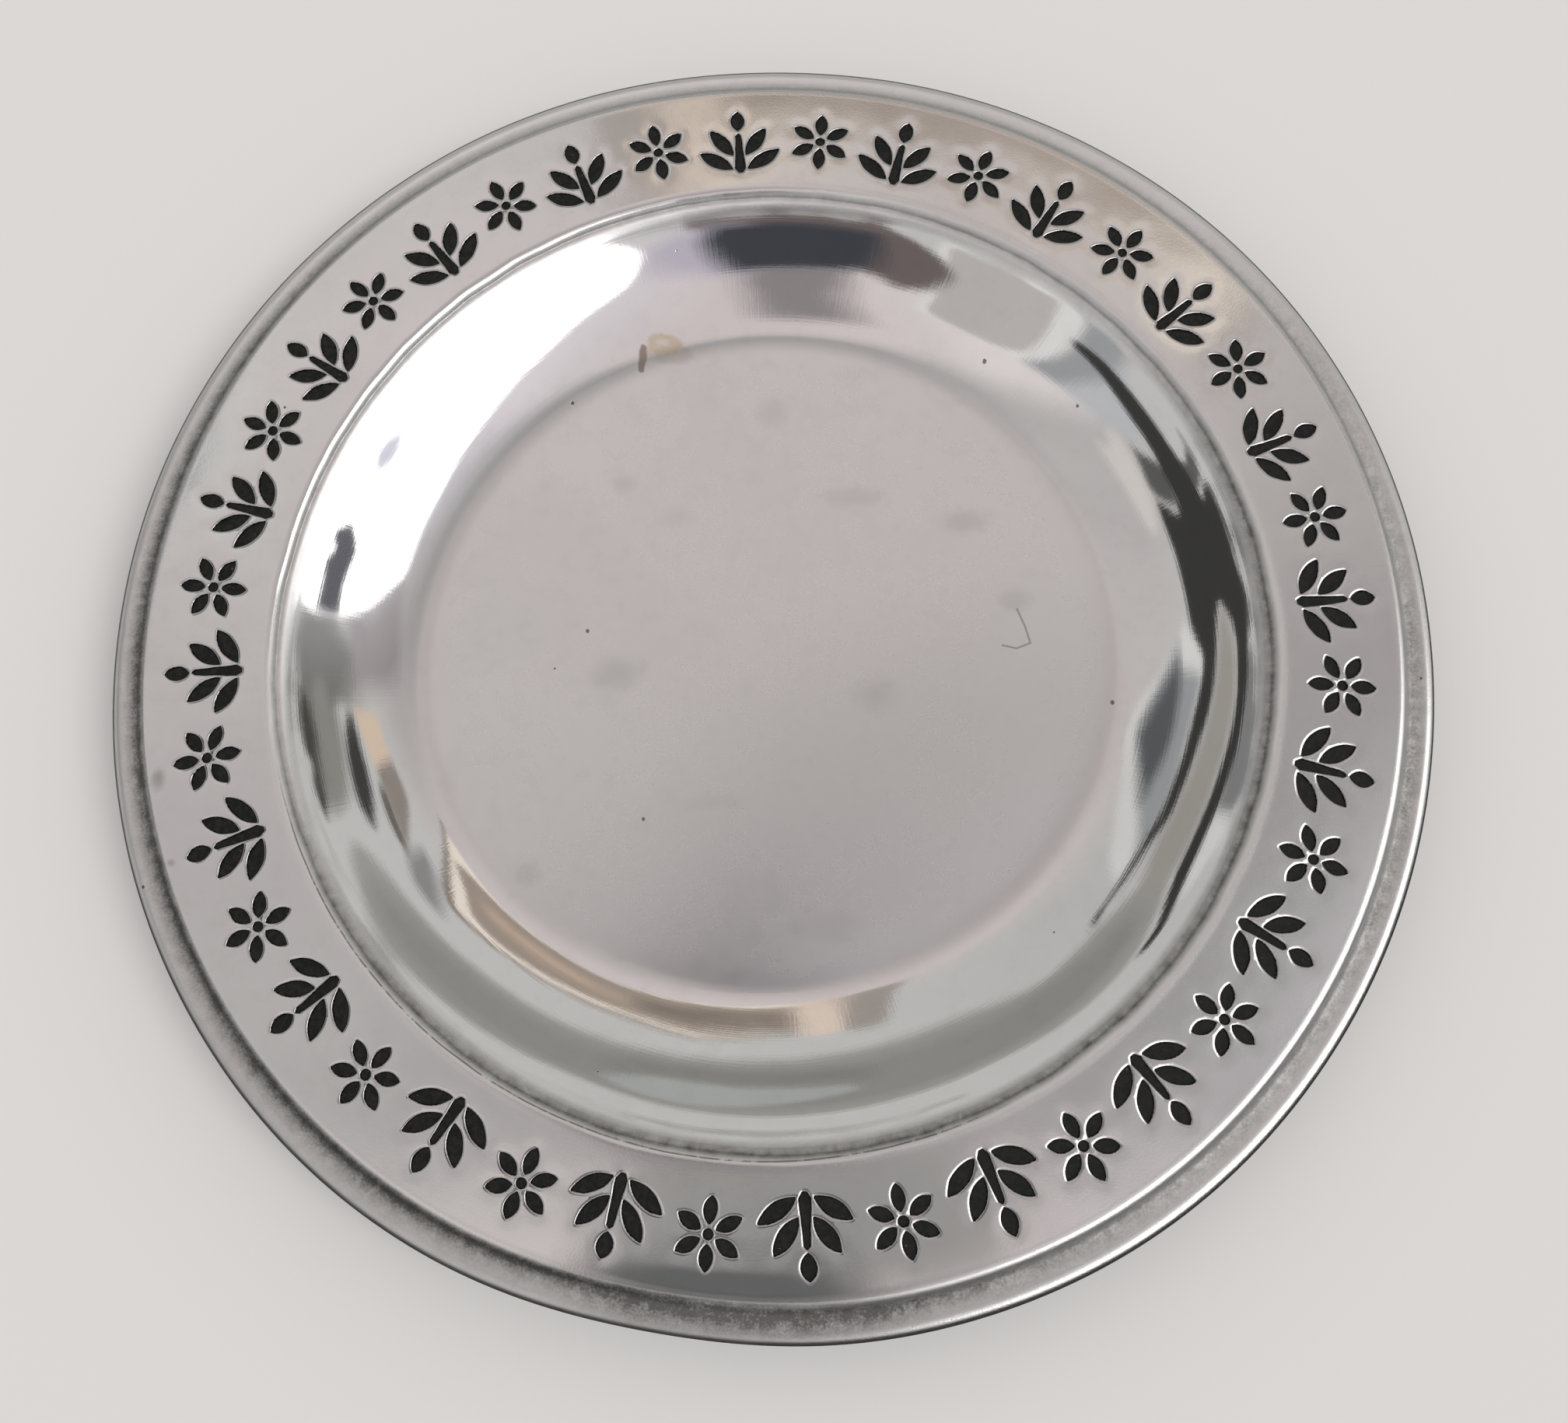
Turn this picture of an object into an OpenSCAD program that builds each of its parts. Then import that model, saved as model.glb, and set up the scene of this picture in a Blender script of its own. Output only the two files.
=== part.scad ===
// Cast pewter plate: a flat rim band with a sunk, black-filled border,
// a hollow behind the lip, a stepped shoulder and a curved well.
// Millimetres. The plate stands on z = 0 with its axis on Z.

/* [Plate] */
// Overall diameter over the lip
plate_d = 270; // [260:1:300]
// Thickness of the floor of the well
floor_t = 3; // [2.8:0.1:4]
// Thickness of the wall of the well
wall_t = 2.8; // [2.2:0.1:2.8]

/* [Well] */
// Diameter of the flat floor
floor_d = 144; // [130:1:148]
// Radius of the knee where the floor turns up into the wall
knee_r = 10; // [8:1:16]
// Slope of the wall where the knee ends, in degrees
knee_a = 18; // [14:1:22]
// Steepest slope of the wall, just under the shoulder, in degrees
wall_a = 38; // [34:1:44]

/* [Rim] */
// Width of the flat band that carries the border
band_w = 24.4; // [23:0.2:27]
// Width of the hollow and lip outside the band
lip_w = 7; // [6.8:0.2:9]
// Depth of the hollow below the band
hollow_depth = 1.3; // [0.9:0.1:1.5]
// Height of the small step inside the band
step_h = 1.45; // [1.35:0.05:1.8]

/* [Foot] */
// Diameter of the turned recess in the underside
recess_d = 100; // [80:1:116]
// Depth of that recess
recess_depth = 0.8; // [0.4:0.1:1.2]

/* [Border] */
// Number of leaf sprigs round the band, with a rosette between each two
sprig_count = 20; // [16:1:21]
// Depth of the sunk figures
pocket_depth = 0.9; // [0.7:0.1:1.2]
// Thickness of the black filling at the bottom of each figure
fill_t = 0.5; // [0.3:0.1:0.6]

/* [Hidden] */

$fn = 96;

metal = [0.73, 0.72, 0.71];
black = [0.05, 0.05, 0.05];

plate_r = plate_d / 2;
floor_r = floor_d / 2;
band_out = plate_r - lip_w;          // outer edge of the band
band_in = band_out - band_w;         // inner edge of the band
ledge_w = 0.3;                       // narrow ledge at the foot of the step
ledge_a = 14;                        // its slope, in degrees
cove_r = 0.45;                       // corner between ledge and step
nose_r = 2.6;                        // soft edge between step and band
nose_a = 54;                         // steepest slope of the step, in degrees
shoulder_r = 2.6;                    // rounding between wall and ledge
riser_h = step_h - ledge_w * tan(ledge_a) - cove_r * (cos(ledge_a) - cos(nose_a)) - nose_r * (1 - cos(nose_a));
step_w = ledge_w + cove_r * (sin(nose_a) - sin(ledge_a)) + riser_h / tan(nose_a) + nose_r * sin(nose_a);
wall_top_r = band_in - step_w - shoulder_r * (sin(wall_a) - sin(ledge_a));

// Points on a circle round c, for slopes a0 to a1 (a hollow curve that
// climbs outwards: slope 0 is its lowest point).
function hollow(c, r, a0, a1, n) =
    [for (i = [0:n]) let (a = a0 + (a1 - a0) * i / n) [c[0] + r * sin(a), c[1] - r * cos(a)]];
// The same for a round edge that climbs outwards: slope 0 is its highest point.
function crown(c, r, a0, a1, n) =
    [for (i = [0:n]) let (a = a0 + (a1 - a0) * i / n) [c[0] - r * sin(a), c[1] + r * cos(a)]];
function last(v) = v[len(v) - 1];

// Well, from the floor upwards.
knee_c = [floor_r, floor_t + knee_r];
knee = hollow(knee_c, knee_r, 0, knee_a, 6);
wall_r = (wall_top_r - last(knee)[0]) / (sin(wall_a) - sin(knee_a));
wall_c = [last(knee)[0] - wall_r * sin(knee_a), last(knee)[1] + wall_r * cos(knee_a)];
wall = hollow(wall_c, wall_r, knee_a, wall_a, 10);
shoulder_c = [last(wall)[0] + shoulder_r * sin(wall_a), last(wall)[1] - shoulder_r * cos(wall_a)];
shoulder = crown(shoulder_c, shoulder_r, wall_a, ledge_a, 5);

// Small step between the ledge and the band.
ledge_end = last(shoulder) + [ledge_w, ledge_w * tan(ledge_a)];
band_z = last(shoulder)[1] + step_h;
cove = hollow(ledge_end + cove_r * [-sin(ledge_a), cos(ledge_a)], cove_r, ledge_a, nose_a, 5);
nose = crown([band_in, band_z - nose_r], nose_r, nose_a, 0, 8);

// Hollow behind the lip: the band's edge rolls over into a hollow curve.
roll_r = 2.2;
roll_a = 46;
hollow_edge = [for (i = [0:6]) let (a = roll_a * i / 6) [band_out + roll_r * sin(a), band_z - roll_r * (1 - cos(a))]];
hollow_r = hollow_depth / (1 - cos(roll_a)) - roll_r;
hollow_bottom = [band_out + (roll_r + hollow_r) * sin(roll_a), band_z - hollow_depth];
hollow_side = hollow(hollow_bottom + [0, hollow_r], hollow_r, -roll_a, 0, 6);
edge_w = 2.0;                        // round edge of the lip, wider than high
edge_h = 1.05;
lip_drop = hollow_depth - 0.4;       // the lip stands this much lower than the band
lip_top = [plate_r - edge_w, band_z - lip_drop];
hollow_out_w = lip_top[0] - hollow_bottom[0];
hollow_out_h = lip_top[1] - hollow_bottom[1];
// slow rise from the bottom of the hollow to the lip
hollow_out = [for (i = [1:7]) let (t = i / 8) [hollow_bottom[0] + hollow_out_w * t,
              hollow_bottom[1] + hollow_out_h * (1 - cos(90 * t)) / (1 - cos(90))]];
edge_top = [for (i = [0:6]) let (a = 90 * i / 6) [lip_top[0] + edge_w * sin(a), lip_top[1] - edge_h * (1 - cos(a))]];

// Underside, from the rim back to the foot.
under_z = band_z - 3.1;
edge_low = [for (i = [0:5]) let (a = 90 * i / 5) [plate_r - 0.85 * (1 - cos(a)), under_z + 0.85 - 0.85 * sin(a)]];
back_r = wall_r + wall_t;
back_top = [wall_c[0] + back_r * sin(wall_a), wall_c[1] - back_r * cos(wall_a)];
fillet_h = under_z - back_top[1];
fillet_r = fillet_h / (1 - cos(wall_a));
fillet = [for (i = [0:6]) let (a = wall_a * i / 6)
          [back_top[0] + fillet_r * (sin(wall_a) - sin(a)), under_z - fillet_r * (1 - cos(a))]];
back = [for (i = [1:9]) let (a = wall_a + (knee_a - wall_a) * i / 9)
        [wall_c[0] + back_r * sin(a), wall_c[1] - back_r * cos(a)]];
// the foot's edge: the knee's back, down to the flat of the foot
knee_back_r = knee_r + wall_t;
knee_back = [for (i = [1:5]) let (a = knee_a * (1 - i / 6))
             [knee_c[0] + knee_back_r * sin(a), knee_c[1] - knee_back_r * cos(a)]];
foot_r = floor_r + 0.4;

profile = concat(
    [[0, floor_t]], knee, [for (i = [1:len(wall) - 1]) wall[i]],
    [for (i = [1:len(shoulder) - 1]) shoulder[i]],
    cove, nose,
    hollow_edge, [for (i = [1:len(hollow_side) - 1]) hollow_side[i]], hollow_out, edge_top,
    edge_low, fillet, back, knee_back,
    [[foot_r, 0], [recess_d / 2, 0], [recess_d / 2 - 0.8, recess_depth], [0, recess_depth]]);

// ---- The border: figures stand upright on the band, tops towards the lip.
figure_base = band_in + 4.1;         // radius of the foot of every figure
figure_h = 15.8;                     // height of every figure

// One almond leaf of length l and width w, standing on the origin and pointing along +Y:
// what two round discs share.
module leaf(l, w, h) {
    disc_r = (l * l / 4 + w * w / 4) / w;
    translate([0, l / 2, 0])
        intersection() {
            translate([disc_r - w / 2, 0, 0]) cylinder(r = disc_r, h = h);
            translate([w / 2 - disc_r, 0, 0]) cylinder(r = disc_r, h = h);
        }
}

// Tapered stem that stands on the origin.
module stem(l, w0, w1, h) {
    linear_extrude(height = h)
        polygon([[-w0 * 0.18, 0], [w0 * 0.18, 0], [w0 / 2, 1.1], [w1 / 2, l - 0.7], [0, l],
                 [-w1 / 2, l - 0.7], [-w0 / 2, 1.1]]);
}

// Repeats its child upright round the band, half a step on for the rosettes.
module round_band(half = 0) {
    for (i = [0:sprig_count - 1])
        rotate([0, 0, 360 * (i + half) / sprig_count])
            translate([0, figure_base, 0]) children();
}

module stems(h) { round_band() stem(10.2, 2.2, 1.1, h); }
module lower_leaves(h) {
    round_band() for (s = [-1, 1])
        translate([s * 1.7, 0.9, 0]) rotate([0, 0, -s * 58]) leaf(8.4, 3, h);
}
module upper_leaves(h) {
    round_band() for (s = [-1, 1])
        translate([s * 1.45, 4.5, 0]) rotate([0, 0, -s * 36]) leaf(8, 3, h);
}
module tip_leaves(h) { round_band() translate([0, 10.8, 0]) leaf(figure_h - 10.8, 2.9, h); }

// Six-petalled rosette, drawn with the compass, round a dot.
module petals(h) {
    round_band(0.5) translate([0, figure_h / 2, 0]) for (k = [0:5])
        rotate([0, 0, 60 * k]) translate([0, 1.75, 0]) leaf(5, 2.5, h);
}
module rosette_dots(h) {
    round_band(0.5) translate([0, figure_h / 2, 0]) cylinder(d = 1.9, h = h);
}

pocket_z = band_z - pocket_depth;

module filled(c) { color(c) translate([0, 0, pocket_z]) children(); }

module plate_casting() {
    color(metal)
        difference() {
            rotate_extrude($fn = 180) polygon(profile);
            translate([0, 0, pocket_z]) {
                h = pocket_depth + 1;
                stems(h);
                lower_leaves(h);
                upper_leaves(h);
                tip_leaves(h);
                petals(h);
                rosette_dots(h);
            }
        }
}

module stem_inlay() { filled(black) stems(fill_t); }
module lower_leaf_inlay() { filled(black) lower_leaves(fill_t); }
module upper_leaf_inlay() { filled(black) upper_leaves(fill_t); }
module tip_leaf_inlay() { filled(black) tip_leaves(fill_t); }
module petal_inlay() { filled(black) petals(fill_t); }
module rosette_dot_inlay() { filled(black) rosette_dots(fill_t); }

plate_casting();
stem_inlay();
lower_leaf_inlay();
upper_leaf_inlay();
tip_leaf_inlay();
petal_inlay();
rosette_dot_inlay();
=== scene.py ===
# Cast pewter plate with a sunk, black-filled border on its rim band.
# The builders below work in millimetres, with the plate standing on z = 0 and its axis on Z.
import math

import bpy
import numpy as np
from mathutils import Matrix, Vector
from mathutils.geometry import delaunay_2d_cdt


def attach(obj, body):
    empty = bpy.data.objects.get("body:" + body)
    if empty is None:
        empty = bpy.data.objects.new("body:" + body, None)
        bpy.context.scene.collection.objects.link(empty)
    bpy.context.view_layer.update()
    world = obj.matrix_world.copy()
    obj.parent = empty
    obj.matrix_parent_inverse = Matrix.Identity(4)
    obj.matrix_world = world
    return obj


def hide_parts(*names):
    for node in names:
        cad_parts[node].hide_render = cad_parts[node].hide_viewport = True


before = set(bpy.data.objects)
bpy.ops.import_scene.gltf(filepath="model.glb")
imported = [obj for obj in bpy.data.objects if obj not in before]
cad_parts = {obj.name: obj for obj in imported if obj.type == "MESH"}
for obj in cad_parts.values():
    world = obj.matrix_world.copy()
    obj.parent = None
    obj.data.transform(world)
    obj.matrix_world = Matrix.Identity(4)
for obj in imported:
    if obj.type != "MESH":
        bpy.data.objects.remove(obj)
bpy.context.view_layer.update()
scene = bpy.context.scene
MM = 0.001

# ------------------------------------------------------------------ camera
elev, roll = math.radians(76.17), math.radians(3.65)
back = Vector((0.0, -math.cos(elev), math.sin(elev)))
side = Vector((1.0, 0.0, 0.0))
top = Vector((0.0, math.sin(elev), math.cos(elev)))
cam_x = math.cos(roll) * side - math.sin(roll) * top
cam_y = math.sin(roll) * side + math.cos(roll) * top
cam_m = Matrix((cam_x, cam_y, back)).transposed().to_4x4()
cam_m.translation = (0.00194, -0.08293, 0.29015)
cam_data = bpy.data.cameras.new("camera")
cam_data.sensor_fit = "HORIZONTAL"
cam_data.sensor_width = 36.0
cam_data.lens = 36.0 * 1790.0 / 2016.0
cam_data.clip_start = 0.01
cam = bpy.data.objects.new("camera", cam_data)
scene.collection.objects.link(cam)
cam.matrix_world = cam_m
scene.camera = cam
scene.view_settings.view_transform = "Standard"
scene.view_settings.look = "None"

# ------------------------------------------------------------------ small helpers
TAU = 2.0 * math.pi
PERM = np.random.default_rng(11).permutation(256)
GRAD = np.stack([np.cos(np.arange(32) * TAU / 32), np.sin(np.arange(32) * TAU / 32)], -1)


def noise2(x, y, seed):
    """Smooth gradient noise, about -1 to 1."""
    x = np.asarray(x, float) + 37.17 * seed
    y = np.asarray(y, float) - 11.31 * seed
    xi, yi = np.floor(x).astype(int), np.floor(y).astype(int)
    xf, yf = x - xi, y - yi

    def corner(dx, dy):
        g = GRAD[PERM[(PERM[(xi + dx + 53 * seed) & 255] + yi + dy) & 255] & 31]
        return g[..., 0] * (xf - dx) + g[..., 1] * (yf - dy)

    u = xf ** 3 * (xf * (xf * 6 - 15) + 10)
    v = yf ** 3 * (yf * (yf * 6 - 15) + 10)
    lo = corner(0, 0) * (1 - u) + corner(1, 0) * u
    hi = corner(0, 1) * (1 - u) + corner(1, 1) * u
    return 1.6 * (lo * (1 - v) + hi * v)


def smooth(a, b, x):
    t = np.clip((np.asarray(x, float) - a) / (b - a), 0.0, 1.0)
    return t * t * (3 - 2 * t)


def bump_at(x, c, w):
    return np.exp(-0.5 * ((x - c) / w) ** 2)


def hollow(c, r, a0, a1, n):
    a = np.radians(np.linspace(a0, a1, n + 1))
    return list(zip(c[0] + r * np.sin(a), c[1] - r * np.cos(a)))


def crown(c, r, a0, a1, n):
    a = np.radians(np.linspace(a0, a1, n + 1))
    return list(zip(c[0] - r * np.sin(a), c[1] + r * np.cos(a)))


# ------------------------------------------------------------------ profile of the casting
PLATE_R, BAND_IN, BAND_OUT = 135.0, 103.6, 128.0
FLOOR_Z, FLOOR_R, KNEE_R, KNEE_A, WALL_A = 3.0, 72.0, 10.0, 18.0, 38.0
LEDGE_W, LEDGE_A, COVE_R, NOSE_R, NOSE_A, SHOULDER_R, STEP_H = 0.3, 14.0, 0.45, 2.6, 54.0, 2.6, 1.45


def sd(a):
    return math.sin(math.radians(a))


def cd(a):
    return math.cos(math.radians(a))


def td(a):
    return math.tan(math.radians(a))


RISER_H = STEP_H - LEDGE_W * td(LEDGE_A) - COVE_R * (cd(LEDGE_A) - cd(NOSE_A)) - NOSE_R * (1 - cd(NOSE_A))
STEP_W = LEDGE_W + COVE_R * (sd(NOSE_A) - sd(LEDGE_A)) + RISER_H / td(NOSE_A) + NOSE_R * sd(NOSE_A)
WALL_TOP = BAND_IN - STEP_W - SHOULDER_R * (sd(WALL_A) - sd(LEDGE_A))
KNEE_END = FLOOR_R + KNEE_R * sd(KNEE_A)
KNEE_END_Z = FLOOR_Z + KNEE_R * (1 - cd(KNEE_A))
WALL_RAD = (WALL_TOP - KNEE_END) / (sd(WALL_A) - sd(KNEE_A))
WALL_TOP_Z = KNEE_END_Z + WALL_RAD * (cd(KNEE_A) - cd(WALL_A))

# The well: the turned floor runs into the knee and the knee into the wall without a sharp line.
_step = 0.05
_r = np.arange(0.0, 118.0, _step)
_s = np.where(_r < FLOOR_R, 0.0, np.where(_r < KNEE_END, (_r - FLOOR_R) / KNEE_R, sd(KNEE_A) + (_r - KNEE_END) / WALL_RAD))
_k = np.exp(-0.5 * (np.arange(-160, 161) * _step / 1.3) ** 2)
_s = np.convolve(np.concatenate([np.zeros(400), _s, np.full(400, _s[-1])]), _k / _k.sum(), "same")[400:400 + len(_r)]
_z = np.concatenate([[0.0], np.cumsum(np.tan(np.arcsin(np.clip(_s, 0, 0.95))))[:-1] * _step])
_z *= (WALL_TOP_Z - FLOOR_Z) / np.interp(WALL_TOP, _r, _z)


def well_z(r):
    return FLOOR_Z + np.interp(r, _r, _z)


well_r = [3, 8, 14, 21, 29, 37, 45, 52, 58, 63, 66.5, 69, 70.4, 71.4, 72.3, 73.1, 73.9, 74.8, 75.9, 77.2]
well_r += list(np.linspace(78.6, WALL_TOP, 18))
well = [(r, float(well_z(r))) for r in well_r]
sh_c = (WALL_TOP + SHOULDER_R * sd(WALL_A), WALL_TOP_Z - SHOULDER_R * cd(WALL_A))
shoulder = crown(sh_c, SHOULDER_R, WALL_A, LEDGE_A, 5)
ledge_end = (shoulder[-1][0] + LEDGE_W, shoulder[-1][1] + LEDGE_W * td(LEDGE_A))
BAND_Z = shoulder[-1][1] + STEP_H
cove = hollow((ledge_end[0] - COVE_R * sd(LEDGE_A), ledge_end[1] + COVE_R * cd(LEDGE_A)), COVE_R, LEDGE_A, NOSE_A, 4)
nose = crown((BAND_IN, BAND_Z - NOSE_R), NOSE_R, NOSE_A, 0, 8)
inner_profile = well + shoulder[1:] + cove + nose + [(BAND_IN + 0.45, BAND_Z)]

POCKET_Z, FILL_Z = BAND_Z - 0.9, BAND_Z - 0.4
ROLL_R, ROLL_A, HOLLOW_D = 2.2, 46.0, 1.3
HOLLOW_R = HOLLOW_D / (1 - cd(ROLL_A)) - ROLL_R
hb = (BAND_OUT + (ROLL_R + HOLLOW_R) * sd(ROLL_A), BAND_Z - HOLLOW_D)
lip_top = (PLATE_R - 2.0, BAND_Z - HOLLOW_D + 0.4)
outer_profile = [(BAND_OUT - 0.4, BAND_Z), (BAND_OUT, BAND_Z)]
for a in np.linspace(0, ROLL_A, 7)[1:]:
    outer_profile.append((BAND_OUT + ROLL_R * sd(a), BAND_Z - ROLL_R * (1 - cd(a))))
outer_profile += hollow((hb[0], hb[1] + HOLLOW_R), HOLLOW_R, -ROLL_A, 0, 6)[1:]
for i in range(1, 6):
    t = i / 6
    outer_profile.append((hb[0] + (lip_top[0] - hb[0]) * t, hb[1] + (lip_top[1] - hb[1]) * (1 - math.cos(t * math.pi / 2))))
for a in np.linspace(0, 90, 9):
    outer_profile.append((lip_top[0] + 2.0 * sd(a), lip_top[1] - 1.05 * (1 - cd(a))))
UNDER_Z = BAND_Z - 3.1
n_top_rings = len(outer_profile)
for a in np.linspace(0, 90, 6):
    outer_profile.append((PLATE_R - 0.85 * (1 - cd(a)), UNDER_Z + 0.85 - 0.85 * sd(a)))
wall_c = (KNEE_END - WALL_RAD * sd(KNEE_A), KNEE_END_Z + WALL_RAD * cd(KNEE_A))
BACK_RAD = WALL_RAD + 2.8
bt = (wall_c[0] + BACK_RAD * sd(WALL_A), wall_c[1] - BACK_RAD * cd(WALL_A))
fil_r = (UNDER_Z - bt[1]) / (1 - cd(WALL_A))
outer_profile += [(128.0, UNDER_Z), (118.0, UNDER_Z), (110.0, UNDER_Z)]
for a in np.linspace(0, WALL_A, 6):
    outer_profile.append((bt[0] + fil_r * (sd(WALL_A) - sd(a)), UNDER_Z - fil_r * (1 - cd(a))))
for a in np.linspace(WALL_A, KNEE_A, 9)[1:]:
    outer_profile.append((wall_c[0] + BACK_RAD * sd(a), wall_c[1] - BACK_RAD * cd(a)))
for a in np.linspace(KNEE_A, KNEE_A / 6, 5)[1:]:
    outer_profile.append((FLOOR_R + (KNEE_R + 2.8) * sd(a), FLOOR_Z + KNEE_R - (KNEE_R + 2.8) * cd(a)))
outer_profile += [(72.55, 0.11), (72.3, 0.02), (71.8, 0.0), (61.0, 0.0), (50.5, 0.0), (50.12, 0.04), (49.9, 0.17),
                  (49.38, 0.63), (49.15, 0.75), (48.7, 0.8), (40.0, 0.8), (26.0, 0.8), (12.0, 0.8), (3.0, 0.8)]

# ------------------------------------------------------------------ unevenness of the handwork
SPOTS = ((37, 0.45, 14), (86, -0.62, 11), (118, 0.35, 20), (178, -0.30, 10), (225, 0.25, 10),
         (257, -1.15, 9), (299, 0.75, 13), (350, -0.60, 13))


def away(deg, c):
    return np.abs((deg - c + 180) % 360 - 180)


def out_of_round(deg):
    total = np.zeros_like(deg)
    for c, amp, w in SPOTS:
        total += amp * bump_at(away(deg, c), 0, w)
    return total


def deform(p, under):
    """Nominal points to the hand-finished ones; under is 1 on the back of the plate."""
    x, y, z = p[:, 0].copy(), p[:, 1].copy(), p[:, 2].copy()
    r = np.hypot(x, y)
    deg = np.degrees(np.arctan2(y, x)) % 360
    w = smooth(104.6, 106.8, r) * (1 - smooth(124.6, 126.6, r))
    dx = w * (0.22 * noise2(x / 18, y / 18, 1) + 0.085 * noise2(x / 2.4, y / 2.4, 2))
    dy = w * (0.22 * noise2(x / 18, y / 18, 3) + 0.085 * noise2(x / 2.4, y / 2.4, 4))
    dr = smooth(116, 135, r) * out_of_round(deg)
    # the step and the band's outer edge were cut a little off the centre of the rim
    over = np.where(under > 0.5, 0.0, 1.0)
    dr += over * smooth(73.0, 100.4, r) * (1 - smooth(104.4, 107.2, r)) * (0.2 + 0.5 * np.cos(np.radians(deg - 50)))
    dr += over * smooth(124.8, 127.2, r) * (1 - smooth(130.8, 133.8, r)) * (0.70 * np.cos(np.radians(deg - 100)) - 0.35)
    dr += over * smooth(99.3, 100.8, r) * (1 - smooth(102.6, 105.0, r)) * (0.22 * noise2(x / 9, y / 9, 14) + 0.06 * noise2(x / 3.2, y / 3.2, 15))
    # and so does the foot of the wall
    dr += over * smooth(62.0, 72.0, r) * (1 - smooth(76.0, 96.0, r)) * (
        1.0 * bump_at(away(deg, 198), 0, 34) - 2.6 * bump_at(away(deg, 281), 0, 34))
    # shallow waves left by casting, turning and use
    wave = 0.045 * noise2(x / 44, y / 44, 5) + 0.016 * noise2(x / 17, y / 17, 6)
    wall = smooth(73, 82, r) * (1 - smooth(97, 100, r))
    wave = wave * (1 - 0.3 * wall) + wall * (0.040 * noise2(x / 27, y / 27, 7) + 0.010 * noise2(x / 11, y / 11, 12))
    rim = smooth(100, 104, r)
    wave = wave * (1 - 0.4 * rim) + rim * (0.022 * noise2(x / 17, y / 17, 13) + 0.010 * noise2(x / 8, y / 8, 8))
    keep = np.where(under > 0.5, smooth(78, 98, r), 1.0)
    # a knock on the near rim: the band's margin bent down a little, the hollow battered
    knock = bump_at(away(deg, 263), 0, 6.5)
    wave = wave - knock * 0.27 * smooth(121.6, 127.6, r) * (1 - 0.6 * smooth(129.0, 134.0, r))
    wave = wave + over * knock * 0.45 * smooth(128.8, 130.2, r) * (1 - smooth(131.5, 133.2, r))
    inv = 1.0 / np.maximum(r, 1e-6)
    return np.stack([x + dx + dr * x * inv, y + dy + dr * y * inv, z + wave * keep], -1)


# ------------------------------------------------------------------ figures of the border
RHO = 0.15            # rounding of the figures' points
BASE_R = BAND_IN + 4.1
CELLS, SEG = 20, 16   # repeats round the band, ring segments in each
M = CELLS * SEG
CELL_A0 = 90.0 + 5.06


def leaf(l, w, n):
    """Almond leaf that stands on the origin: core points, outward normals, points of its midrib."""
    dr = (l * l / 4 + w * w / 4) / w
    rc, cx = dr - RHO, dr - w / 2
    al = math.acos(cx / rc)
    core, nrm = [], []
    for sgn, start in ((1, -al), (-1, math.pi - al)):
        for a in np.linspace(start, start + 2 * al, n):
            core.append((-sgn * cx + rc * math.cos(a), rc * math.sin(a)))
            nrm.append((math.cos(a), math.sin(a)))
        for f in (0.25, 0.5, 0.75):
            a = start + 2 * al + (math.pi - 2 * al) * f
            core.append((0.0, sgn * rc * math.sin(al)))
            nrm.append((math.cos(a), math.sin(a)))
    core, nrm = np.array(core), np.array(nrm)
    mid = np.stack([0 * core[:, 0], core[:, 1] * 0.74], -1)
    up = np.array([0.0, l / 2])
    return core + up, nrm, mid + up


def stem(l, w0, w1):
    p = np.array([(-w0 * 0.18, 0), (w0 * 0.18, 0), (w0 / 2, 1.1), (w1 / 2, l - 0.7), (0, l), (-w1 / 2, l - 0.7), (-w0 / 2, 1.1)])
    n = len(p)
    d = np.roll(p, -1, 0) - p
    d /= np.linalg.norm(d, axis=1, keepdims=True)
    en = np.stack([d[:, 1], -d[:, 0]], -1)          # outward normal of each edge
    corner = []
    for i in range(n):
        a, b = en[i - 1], en[i]
        rhs = np.array([a @ p[i] - RHO, b @ p[i] - RHO])
        corner.append(np.linalg.solve(np.array([a, b]), rhs))
    core, nrm = [], []
    for i in range(n):
        a, b = en[i - 1], en[i]
        for f in (0.0, 0.5, 1.0):
            v = a * (1 - f) + b * f
            core.append(corner[i])
            nrm.append(v / np.linalg.norm(v))
        q = corner[(i + 1) % n]
        length = np.linalg.norm(q - corner[i])
        for f in np.linspace(0, 1, int(length / 1.0) + 2)[1:-1]:
            core.append(corner[i] * (1 - f) + q * f)
            nrm.append(b)
    core, nrm = np.array(core), np.array(nrm)
    return core, nrm, np.stack([0 * core[:, 0], 0.6 + core[:, 1] * 0.88], -1)


def dot(d, n=16):
    a = np.arange(n) * TAU / n
    nrm = np.stack([np.cos(a), np.sin(a)], -1)
    return nrm * (d / 2 - RHO), nrm, nrm * 0.0


def turned(shape, deg, dx, dy):
    c, s = math.cos(math.radians(deg)), math.sin(math.radians(deg))
    rot = np.array([[c, s], [-s, c]])
    core, nrm, mid = shape
    return core @ rot + (dx, dy), nrm @ rot, mid @ rot + (dx, dy)


def on_band(shape, deg):
    """From the upright drawing to the band; deg counts from +Y."""
    core, nrm, mid = shape
    return turned((core + (0, BASE_R), nrm, mid + (0, BASE_R)), deg, 0, 0)


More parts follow.
